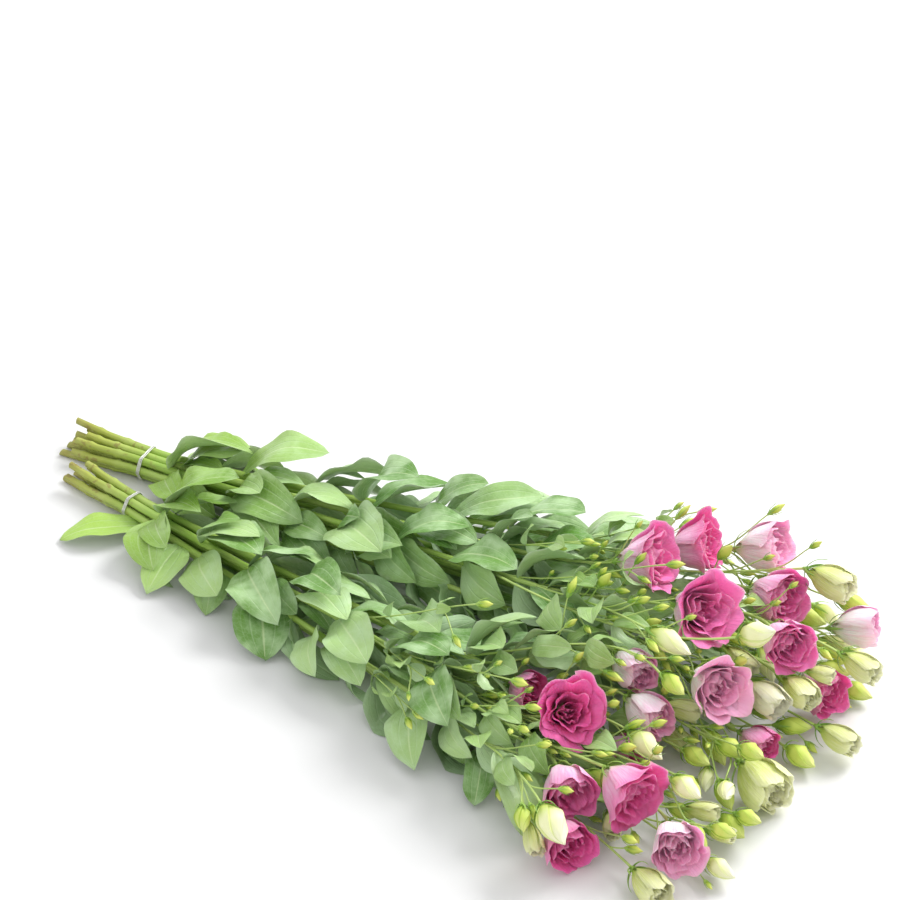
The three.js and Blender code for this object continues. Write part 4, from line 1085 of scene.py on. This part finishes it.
for stem, pair, mate, root, ahead in missing:
    try_leaf(stem["name"], f"pair{pair}", root, ahead, stem["key"] + 5000, pair, mate,
             size=0.86, seat=ON_STEM, attempts=24, young=0.0)
for stem in TOP_DOWN:
    for pair, place in enumerate((62, 122, 176, 232, 288, 330, 352, 384)):
        place = min(place + 10 * (draw(stem["key"], pair, 32) - 0.5), FORK)
        for mate in (0, 1):
            try_leaf(stem["name"], f"more{pair}", *on_stem(stem, place), stem["key"] + 7000, 10 + pair,
                     mate, size=0.78, seat=ON_STEM, attempts=14, young=0.3 * (place > 250),
                     upward=0.2 if stem["level"] == 2 else 1.0)
for name, toward in (("back_1", 190), ("back_4", 185), ("front_2", -10), ("front_5", -5), ("front_7", -10)):
    stem = STEM_NAMED[name]
    for n in range(14):
        place = 96 + 21 * n
        try_leaf(name, f"gap{n}", *on_stem(stem, place), stem["key"] + 8000, n, 0,
                 size=0.95, seat=ON_STEM, attempts=16, young=0.0, toward=toward)
for head in heads:
    for n, place in enumerate((1, 4, 7)):
        for mate in (0, 1):
            try_leaf(head["stem"], f"{head['name']}{n}", *on_line(head["branch"], place),
                     head["key"] + 9000, n, mate, size=0.74 - 0.12 * n, seat=ON_BRANCH, attempts=14,
                     young=0.3 + 0.2 * n, grows_on=head["on"])


# How far in front of a flower's rim nothing small grows.
MOUTH_CLEAR = 60


def out_of_mouths(*points):
    """Whether the points aren't inside an open head or in front of its mouth, within about its own
    width."""
    for head in open_heads:
        for point in points:
            off = point - head["base"]
            ahead = off @ head["axes"][0]
            beside = np.linalg.norm(off - ahead * head["axes"][0])
            if 0 < ahead < head["size"] + MOUTH_CLEAR and beside < 1.2 * head["radius"]:
                return False
    return True


def fits(stick, grids, own):
    """Whether a stick and the surfaces at its end lie in the box and cross nothing, but for the stick
    what it grows on."""
    every = np.concatenate([grid.reshape(-1, 3) for grid in (stick, *grids)])
    inside = (every.min(0) > BOX_LOW + [0, 0, 3]).all() and (every.max(0) < BOX_HIGH).all()
    inside = inside and (every[:, 0] + FAR_SLANT * every[:, 1]).max() < FAR_END
    return inside and room.free(stick, {own}) and all(room.free(grid) for grid in grids)


def grow_twig(stem, own, start, ahead, key, spread, lift, reach, size):
    """Grow a twig with a small bud on the first attempt that is free and ends among the heads, and give its
    line, or None."""
    for attempt in range(MORE_TWIG_ATTEMPTS):
        axes = turned(ahead, key, attempt, spread, lift)
        tip = start + axes[0] * (reach[0] + (reach[1] - reach[0]) * draw(key, attempt, 25))
        length = size[0] + (size[1] - size[0]) * draw(key, attempt, 26) ** 1.5
        stick, bud = twig_room(start, ahead, axes, tip, length, 0.22 * length)
        if tip[0] > HEADS_FROM and fits(stick, [bud], own) and out_of_mouths(tip):
            add_twig(stem, start, ahead, axes, tip, length, 0.2 * length, key)
            room.take(stick, own)
            room.take(bud, "twig bud")
            return branch_line(start, ahead, tip, axes[0], 0, np.linspace(0, 1, 12))
    return None


# Shoots: long thin ones from the upper stems, with a bud at the tip, one or two more on the way, and small
# leaves.
for stem in TOP_DOWN:
    for n, place in enumerate((334, 298, 262, 226)[:2 + stem["level"]]):
        key = stem["key"] + 11000 + 40 * n
        place = place + 24 * (draw(key, 27) - 0.5)
        name = stem["name"]
        line = grow_twig(name, name, *on_stem(stem, place), key,
                         spread=30, lift=0.3, reach=(90, 200), size=(12, 20))
        if line is None:
            continue
        for k, knot in enumerate((5, 8)):
            grow_twig(name, name, *on_line(line, knot), key + 7 + k,
                      spread=90, lift=0.4, reach=(16, 38), size=(8, 15))
            for mate in (0, 1):
                try_leaf(name, f"shoot{n}{k}", *on_line(line, knot), key + 9, k, mate,
                         size=0.3, seat=ON_TWIG, attempts=8, young=0.9)


# More half-open and closed buds on the branches, as small as the smallest large ones, low among the others.
MORE_HEADS = []


def grow_head(carrier, key, place):
    """Grow a small half-open or closed bud on a branch, on the first attempt that is free."""
    start, ahead = on_line(carrier["branch"], place)
    for attempt in range(MORE_HEAD_ATTEMPTS):
        axes = turned(ahead, key, attempt, 84, 0.7)
        size = 24 + 10 * draw(key, attempt, 28)
        base = start + axes[0] * (26 + 56 * draw(key, attempt, 25))
        head = {"name": f"more_{len(MORE_HEADS)}", "key": key, "stem": carrier["stem"], "axes": axes,
                "base": base, "at": base + axes[0] * size / 2, "radius": 0.27 * size, "size": size,
                "dents": np.zeros(5),
                "opening": 0.42 if draw(key, 29) < 0.45 else None,
                "tone": "green" if draw(key, 30) < 0.7 else "cream"}
        coarse = branch_line(start, ahead, base, axes[0], 0, np.linspace(0, 1, 6))[1:]
        stick = closed_rings(tube_rings(coarse, 0.9, 5))
        low = head["at"][2] < LOW_HEADS and axes[0][2] < 0.3 and head["at"][0] > LOW_HEADS_FROM
        if (low and fits(stick, head_surfaces(head), carrier["on"])
                and out_of_mouths(base, head["at"], base + axes[0] * size)):
            skin = STEM_SKINS[carrier["stem"]]
            end = base + axes[0] * (1 - RECEPTACLE_HEIGHT)
            fine = branch_line(start, ahead, end, axes[0], 0, np.linspace(0, 1, 16))
            radius = np.interp(np.arange(16), [0, 3, 13, 15], [1.1, 0.8, 0.75, 1.0])
            add_branch(skin, fine, radius, draw(key, 78), 8)
            add_calyx(skin, base, axes, head["radius"] + 0.9, 0.42 * size, 1.2, draw(key, 79), key, 7, 3)
            room.take(stick, carrier["on"])
            take_heads(room, [head])
            MORE_HEADS.append(head)
            return


for head in heads:
    for n, place in enumerate((4, 6, 8, 10, 11, 5, 7, 9, 3)):
        if head["at"][0] > MORE_HEADS_FROM:
            grow_head(head, head["key"] + 400 + 17 * n, place)
for head in heads:
    for n, place in enumerate((4, 7, 10, 5, 8)):
        grow_twig(head["stem"], head["on"], *on_line(head["branch"], place),
                  head["key"] + 3000 * (n + 1), spread=80, lift=0.4, reach=(22, 62), size=(10, 24))

for stem, placing, shape, key, young in leaves:
    fineness = LARGE_LEAF_GRID if shape["length"] > SMALL_LEAF_LENGTH else SMALL_LEAF_GRID
    points, uv = leaf_surface(*placing, shape, *fineness, key)
    LEAF_SKINS[stem].blade(points, uv, LEAF_THICK, tint=draw(key, 68), kind=young)


# ---- Materials ----
class Graph:
    """Makes nodes in a tree, with their values and links."""

    def __init__(self, tree):
        self.tree = tree

    def node(self, kind, inputs=None, **settings):
        made = self.tree.nodes.new(kind)
        for name, value in settings.items():
            setattr(made, name, value)
        for socket, value in (inputs or {}).items():
            if isinstance(value, bpy.types.NodeSocket):
                self.tree.links.new(value, made.inputs[socket])
            else:
                made.inputs[socket].default_value = value
        return made

    def math(self, operation, a, b=0.0):
        return self.node("ShaderNodeMath", {0: a, 1: b}, operation=operation).outputs[0]

    def times(self, a, b):
        return self.math("MULTIPLY", a, b)

    def plus(self, a, b):
        return self.math("ADD", a, b)

    def minus(self, a, b):
        return self.math("SUBTRACT", a, b)

    def mix(self, factor, a, b, blend="MIX"):
        """Colour a turned to colour b by the factor."""
        a, b = [(*v, 1.0) if isinstance(v, tuple) and len(v) == 3 else v for v in (a, b)]
        made = self.node("ShaderNodeMix", {0: factor, 6: a, 7: b}, data_type="RGBA", blend_type=blend)
        return made.outputs[2]

    def part(self, mask, share, a, b, blend="MIX"):
        """Colour a turned to colour b by a share of the mask."""
        return self.mix(self.times(mask, share), a, b, blend)

    def ramp(self, value, low, high):
        """A smooth step of the value, from 0 at low to 1 at high."""
        made = self.node("ShaderNodeMapRange", {0: value, 1: low, 2: high}, interpolation_type="SMOOTHSTEP")
        return made.outputs[0]

    def line(self, value, middle, width):
        """A soft line: 1 where the value is the middle, and 0 from the width away."""
        return self.ramp(self.math("ABSOLUTE", self.minus(value, middle)), width, 0.0)

    def noise(self, vector, scale, detail=3.0, roughness=0.55):
        made = self.node("ShaderNodeTexNoise",
                         {"Vector": vector, "Scale": scale, "Detail": detail, "Roughness": roughness})
        return made.outputs[0]

    def xyz(self, vector):
        return self.node("ShaderNodeSeparateXYZ", {0: vector}).outputs

    def join(self, x, y, z=0.0):
        return self.node("ShaderNodeCombineXYZ", {0: x, 1: y, 2: z}).outputs[0]

    def place(self):
        """The UV place on a surface, as (u, v)."""
        return self.xyz(self.node("ShaderNodeUVMap", uv_map="place").outputs[0])[:2]

    def shared(self, group, inputs=None):
        """The outputs of a node group."""
        return self.node("ShaderNodeGroup", inputs, node_tree=group).outputs


def new_group(name, inputs, outputs):
    """An empty node group with sockets for values, as (group, graph, input sockets, output sockets)."""
    group = bpy.data.node_groups.new(name, "ShaderNodeTree")
    for way, sockets in (("INPUT", inputs), ("OUTPUT", outputs)):
        for socket in sockets:
            group.interface.new_socket(name=socket, in_out=way, socket_type="NodeSocketFloat")
    graph = Graph(group)
    return group, graph, graph.node("NodeGroupInput").outputs, graph.node("NodeGroupOutput").inputs


def tissue_group():
    """Soft patches, small swellings, fine cells and a gradient along the bunch, from Object coordinates."""
    group, g, _, out = new_group("plant_tissue", (), ("Patches", "Swellings", "Cells", "Along"))
    place = g.node("ShaderNodeTexCoord").outputs["Object"]
    g.tree.links.new(g.noise(place, 38.0, 3.0), out["Patches"])
    g.tree.links.new(g.noise(place, 130.0, 2.0), out["Swellings"])
    g.tree.links.new(g.noise(place, 900.0, 2.0), out["Cells"])
    g.tree.links.new(g.ramp(g.xyz(place)[0], -0.36, -0.10), out["Along"])
    return group


def leaf_vein_group():
    """Veins of a leaf from its UV: a rib down the middle, nerves that follow the edges, and a faint net."""
    group, g, _, out = new_group("leaf_veins", (), ("Rib", "Nerves", "Net"))
    u, v = g.place()
    across = g.math("ABSOLUTE", g.minus(g.times(u, 2.0), 1.0))
    slanted = g.join(g.times(u, 3.0), g.plus(g.times(v, 7.0), across))
    cells = g.node("ShaderNodeTexVoronoi", {"Vector": slanted, "Scale": 3.0}, feature="DISTANCE_TO_EDGE")
    inner, outer = g.line(across, 0.42, 0.05), g.line(across, 0.72, 0.04)
    g.tree.links.new(g.ramp(across, 0.075, 0.0), out["Rib"])
    g.tree.links.new(g.plus(inner, g.times(outer, 0.5)), out["Nerves"])
    g.tree.links.new(g.ramp(cells.outputs[0], 0.1, 0.0), out["Net"])
    return group


def petal_vein_group():
    """Fine streaks that run up a petal and fan out a little towards its rim, from its UV."""
    group, g, given, out = new_group("petal_veins", ("Tint",), ("Streaks",))
    u, v = g.place()
    fan = g.times(g.minus(u, 0.5), 26.0)
    streak = g.noise(g.join(fan, g.times(v, 2.2), g.times(given[0], 40.0)), 1.0, 4.0, 0.6)
    g.tree.links.new(g.ramp(streak, 0.38, 0.66), out["Streaks"])
    return group


TISSUE, LEAF_VEINS, PETAL_VEINS = tissue_group(), leaf_vein_group(), petal_vein_group()

# How far red, green and blue light goes in, as shares of the depth in metres, and the shader's own values.
EVEN_GLOW = (1.0, 1.0, 0.7)
PINK_GLOW = (1.0, 0.5, 0.6)
GLOW_DEPTH = 0.003
SHINE = 0.35
BUMP = 0.7


def new_material(name):
    """A material with one plain shader, as (material, graph, shader, (tint, side, kind))."""
    material = bpy.data.materials.new(name)
    material.use_nodes = True
    material.node_tree.nodes.clear()
    g = Graph(material.node_tree)
    shader = g.node("ShaderNodeBsdfPrincipled")
    out = g.node("ShaderNodeOutputMaterial")
    g.tree.links.new(shader.outputs[0], out.inputs[0])
    marks = g.xyz(g.node("ShaderNodeAttribute", attribute_name="marks").outputs["Vector"])
    return material, g, shader, marks


def finish(g, shader, colour, height, depth, roughness, soft=0.0, glow=EVEN_GLOW):
    """Set the shader's own values, and its links for colour and bump. soft is how much light goes in and
    comes out again, as the glow says for red, green and blue."""
    g.tree.links.new(colour, shader.inputs["Base Color"])
    shader.inputs["Roughness"].default_value = roughness
    shader.inputs["Specular IOR Level"].default_value = SHINE
    if soft:
        shader.inputs["Subsurface Weight"].default_value = soft
        shader.inputs["Subsurface Radius"].default_value = glow
        shader.inputs["Subsurface Scale"].default_value = GLOW_DEPTH
    bump = g.node("ShaderNodeBump", {"Height": height, "Distance": depth, "Strength": BUMP})
    g.tree.links.new(bump.outputs[0], shader.inputs["Normal"])


def leaf_material():
    """Greyish green above with paler veins, paler and greyer below, and yellower near the cut ends."""
    material, g, shader, (tint, side, young) = new_material("leaf_green")
    tissue, veins = g.shared(TISSUE), g.shared(LEAF_VEINS)
    deep = g.mix(g.ramp(tint, 0.1, 0.9), (0.095, 0.235, 0.030), (0.370, 0.550, 0.215))
    bloom = g.part(g.ramp(tissue["Patches"], 0.38, 0.7), 0.8, deep, (0.430, 0.610, 0.330))
    fresh = g.part(young, 0.55, bloom, (0.370, 0.550, 0.130))
    lime = g.part(g.minus(1.0, tissue["Along"]), 0.85, fresh, (0.320, 0.520, 0.030))
    veined = g.part(veins["Net"], 0.14, lime, (0.500, 0.650, 0.380))
    veined = g.part(veins["Nerves"], 0.25, veined, (0.520, 0.690, 0.400))
    veined = g.part(veins["Rib"], 0.5, veined, (0.600, 0.730, 0.400))
    colour = g.part(side, 0.5, veined, (0.440, 0.590, 0.380))
    grooves = g.times(g.plus(veins["Nerves"], veins["Rib"]), -0.7)
    height = g.plus(grooves, g.plus(g.times(tissue["Cells"], 0.25), g.times(tissue["Swellings"], 2.2)))
    finish(g, shader, colour, height, 0.0005, 0.34, 0.15)
    return material


def stem_material():
    """Stems that go from brown at the cut through olive to yellow-green, with sepals, green buds and pale
    cut faces told apart by their kind."""
    material, g, shader, (tint, _, kind) = new_material("stem_green")
    tissue = g.shared(TISSUE)
    u, v = g.place()
    ridges = g.noise(g.join(g.times(u, 14.0), g.times(v, 18.0), tint), 1.0, 2.0)
    green = g.mix(tint, (0.250, 0.420, 0.060), (0.400, 0.570, 0.130))
    olive = g.mix(g.ramp(v, 0.03, -0.06), green, (0.370, 0.410, 0.070))
    brown = g.part(g.ramp(v, -0.045, -0.075), 0.6, olive, (0.270, 0.180, 0.050))
    stalk = g.mix(g.ramp(v, 0.25, 0.41), brown, (0.450, 0.610, 0.180))
    stalk = g.part(g.ramp(tissue["Patches"], 0.4, 0.75), 0.35, stalk, (0.540, 0.620, 0.220))
    stalk = g.part(g.ramp(ridges, 0.5, 0.7), 0.45, stalk, (0.150, 0.270, 0.035))
    scars = g.times(g.ramp(tissue["Swellings"], 0.6, 0.68), g.ramp(v, 0.05, -0.03))
    stalk = g.part(scars, 0.6, stalk, (0.230, 0.160, 0.050))
    sepal = g.mix(tint, (0.220, 0.410, 0.070), (0.380, 0.570, 0.120))
    bud = g.mix(g.ramp(v, 0.15, 0.9), (0.360, 0.540, 0.050), (0.660, 0.730, 0.160))
    face = g.mix(g.ramp(v, 0.5, 0.95), (0.700, 0.740, 0.440), (0.300, 0.340, 0.100))
    colour = stalk
    for least, other in ((0.3, sepal), (0.6, bud), (0.9, face)):
        colour = g.mix(g.math("GREATER_THAN", kind, least), colour, other)
    finish(g, shader, colour, g.plus(ridges, g.times(tissue["Cells"], 0.4)), 0.0005, 0.42)
    return material


def petal_material(name, heart, body, rim, outer, glow):
    """A petal: greenish cream at its foot, then its body colour, and its rim colour towards the edge. The
    outside is paler, and streaks run up both sides."""
    material, g, shader, (tint, side, _) = new_material(name)
    tissue = g.shared(TISSUE)
    streaks = g.shared(PETAL_VEINS, {"Tint": tint})[0]
    v = g.place()[1]
    edge = g.plus(v, g.times(g.minus(tissue["Patches"], 0.5), 0.4))
    inner = g.mix(g.ramp(edge, 0.35, 1.0), body, rim)
    back = g.mix(g.ramp(edge, 0.45, 1.05), outer, body)
    colour = g.mix(side, back, inner)
    colour = g.part(tint, 0.25, colour, rim)
    colour = g.part(streaks, 0.38, colour, rim)
    colour = g.mix(g.ramp(edge, 0.42, 0.04), colour, heart)
    finish(g, shader, colour, g.plus(streaks, g.times(tissue["Cells"], 0.3)), 0.0004, 0.5, 0.45, glow)
    return material


def bud_material(name, foot, body, tip):
    """A closed bud: green at its foot, its body colour above and its tip colour, with a painted shade line,
    darker and greener, in the creases between its petals and fine streaks that wind with the petals."""
    material, g, shader, _ = new_material(name)
    tissue = g.shared(TISSUE)
    u, v = g.place()
    within = g.math("FRACT", g.times(u, 5.0))
    # Painted shade: a mask for the crease where one petal's edge lies over the next.
    groove_shade = g.math("MAXIMUM", g.ramp(within, 0.86, 1.0), g.ramp(within, 0.05, 0.0))
    streaks = g.noise(g.join(g.times(u, 60.0), g.times(v, 2.0)), 1.0, 3.0)
    edge = g.plus(v, g.times(g.minus(tissue["Patches"], 0.5), 0.3))
    colour = g.mix(g.ramp(edge, 0.08, 0.5), foot, body)
    colour = g.mix(g.ramp(edge, 0.6, 1.0), colour, tip)
    colour = g.part(streaks, 0.35, colour, foot)
    # Painted shade in each crease, multiplied by the foot's green so that it turns darker and greener.
    colour = g.part(groove_shade, 0.4, colour, foot, "MULTIPLY")
    finish(g, shader, colour, streaks, 0.0004, 0.5, 0.12)
    return material


# The cord's twist, in radians: once round it, and along each metre of it.
TWISTS_ROUND = 12.566
TWISTS_ALONG = 5200.0


def tie_material():
    """Off-white cord with a fine twist, and painted shade, down to a grey, in the grooves of the twist."""
    material, g, shader, _ = new_material("white_cord")
    u, v = g.place()
    twist = g.math("SINE", g.plus(g.times(u, TWISTS_ROUND), g.times(v, TWISTS_ALONG)))
    # Painted shade: grey (0.52) in the low grooves of the twist, the cord's own off-white (0.82) on the
    # strands.
    colour = g.mix(g.ramp(twist, -1.0, 0.4), (0.52, 0.52, 0.50), (0.82, 0.82, 0.80))
    finish(g, shader, colour, twist, 0.0001, 0.6)
    return material


def plain_material(name, colour, roughness):
    """One colour all over."""
    material, _, shader, _ = new_material(name)
    shader.inputs["Base Color"].default_value = (*colour, 1.0)
    shader.inputs["Roughness"].default_value = roughness
    return material


LEAF, STEM, TIE = leaf_material(), stem_material(), tie_material()
# Petals by tone: heart, body, rim and outside colour, and glow.
PETALS = {tone: petal_material(f"petal_{tone}", *colours) for tone, colours in {
    "pink": ((0.78, 0.72, 0.46), (0.94, 0.38, 0.62), (0.88, 0.18, 0.45), (0.96, 0.58, 0.75), PINK_GLOW),
    "magenta": ((0.72, 0.60, 0.42), (0.92, 0.26, 0.52), (0.84, 0.11, 0.36), (0.94, 0.48, 0.67), PINK_GLOW),
    "pale": ((0.74, 0.78, 0.46), (0.98, 0.62, 0.78), (0.95, 0.38, 0.60), (0.98, 0.86, 0.88), PINK_GLOW),
    "green": ((0.40, 0.58, 0.06), (0.84, 0.88, 0.40), (0.94, 0.94, 0.60), (0.64, 0.74, 0.18), EVEN_GLOW),
    "cream": ((0.52, 0.66, 0.12), (0.92, 0.92, 0.58), (0.96, 0.94, 0.76), (0.86, 0.88, 0.48), EVEN_GLOW),
}.items()}
# Closed buds by tone: foot, body and tip colour.
BUD_MATERIALS = {tone: bud_material(f"bud_{tone}", *colours) for tone, colours in {
    "green": ((0.32, 0.50, 0.05), (0.60, 0.70, 0.14), (0.76, 0.80, 0.30)),
    "cream": ((0.56, 0.68, 0.14), (0.90, 0.90, 0.58), (0.95, 0.92, 0.76)),
}.items()}


# ---- The pieces ----
SPARE_ON_BUDS = 4
SPARE_ON_SMALL_BUDS = 7
for stem in STEMS:
    name = stem["name"]
    make_piece(f"green_stem_{name}", STEM_SKINS[name], "foliage", STEM, f"stem_{name}")
    make_piece(f"leaves_{name}", LEAF_SKINS[name], "foliage", LEAF, f"stem_{name}")
for head in heads:
    skin = Skin()
    kind = "bud" if head["name"].startswith("bud") else "petal"
    state, materials = ("closed", BUD_MATERIALS) if head["opening"] is None else ("open", PETALS)
    add_head(skin, head, SPARE_ON_BUDS if kind == "bud" else 0)
    slot, material = f"{kind}_{head['tone']}", materials[head["tone"]]
    make_piece(f"{state}_{head['name']}", skin, slot, material, head["name"])
for tone in ("green", "cream"):
    for state, materials in (("closed", BUD_MATERIALS), ("open", PETALS)):
        skin, carriers = Skin(), set()
        for head in MORE_HEADS:
            if head["tone"] == tone and (head["opening"] is None) == (state == "closed"):
                carriers.add("stem_" + head["stem"])
                add_head(skin, head, SPARE_ON_SMALL_BUDS)
        make_piece(f"{state}_small_buds_{tone}", skin, f"bud_{tone}", materials[tone], *sorted(carriers))
for hand in HANDS:
    make_piece(f"cord_{hand}", tie_skin(hand), "tie", TIE, f"tie_{hand}")


# ---- Floor, light and camera, in metres and degrees ----
# The camera looks at a middle that lies right of the frame's origin and above it, as the camera sees them.
FLOOR_HALF = 4
VIEW_AZIMUTH = 36
VIEW_RISE = 37
VIEW_DISTANCE = 8.0
VIEW_LENS = 400
MIDDLE_RIGHT = 0.019
MIDDLE_UP = 0.146
WINDOW_POWER = 66
WINDOW_SIZE = 1.3
ROOM_BRIGHTNESS = 1.05

scene = bpy.context.scene
floor_mesh = bpy.data.meshes.new("floor")
floor_corners = [(x * FLOOR_HALF, y * FLOOR_HALF, 0) for x, y in ((-1, -1), (1, -1), (1, 1), (-1, 1))]
floor_mesh.from_pydata(floor_corners, [], [(0, 1, 2, 3)])
floor = bpy.data.objects.new("floor", floor_mesh)
scene.collection.objects.link(floor)
floor_mesh.materials.append(plain_material("white_table", (0.73, 0.73, 0.735), 0.8))

view_right = direction(VIEW_AZIMUTH, 0)
view_back = direction(VIEW_AZIMUTH - 90, VIEW_RISE)
view_up = np.cross(view_back, view_right)


def aim(thing, place, target):
    """Put a camera or light at a place and turn it to look at the target."""
    thing.location = Vector(place)
    thing.rotation_euler = (Vector(target) - Vector(place)).to_track_quat("-Z", "Y").to_euler()


camera_data = bpy.data.cameras.new("camera")
camera_data.lens, camera_data.sensor_width, camera_data.clip_end = VIEW_LENS, 36, 100
camera = bpy.data.objects.new("camera", camera_data)
scene.collection.objects.link(camera)
middle = MIDDLE_RIGHT * view_right + MIDDLE_UP * view_up
aim(camera, middle + VIEW_DISTANCE * view_back, middle)
scene.camera = camera

window_data = bpy.data.lights.new("window", "AREA")
window_data.energy, window_data.size = WINDOW_POWER, WINDOW_SIZE
window = bpy.data.objects.new("window", window_data)
scene.collection.objects.link(window)
away = direction(VIEW_AZIMUTH + 90, 0)
aim(window, 1.5 * view_right + 1.2 * away + 1.7 * UP, (0, 0, 0))

world = bpy.data.worlds.new("white_room")
scene.world = world
world.use_nodes = True
world.node_tree.nodes["Background"].inputs[0].default_value = (1, 1, 1, 1)
world.node_tree.nodes["Background"].inputs[1].default_value = ROOM_BRIGHTNESS
scene.view_settings.view_transform = "Standard"
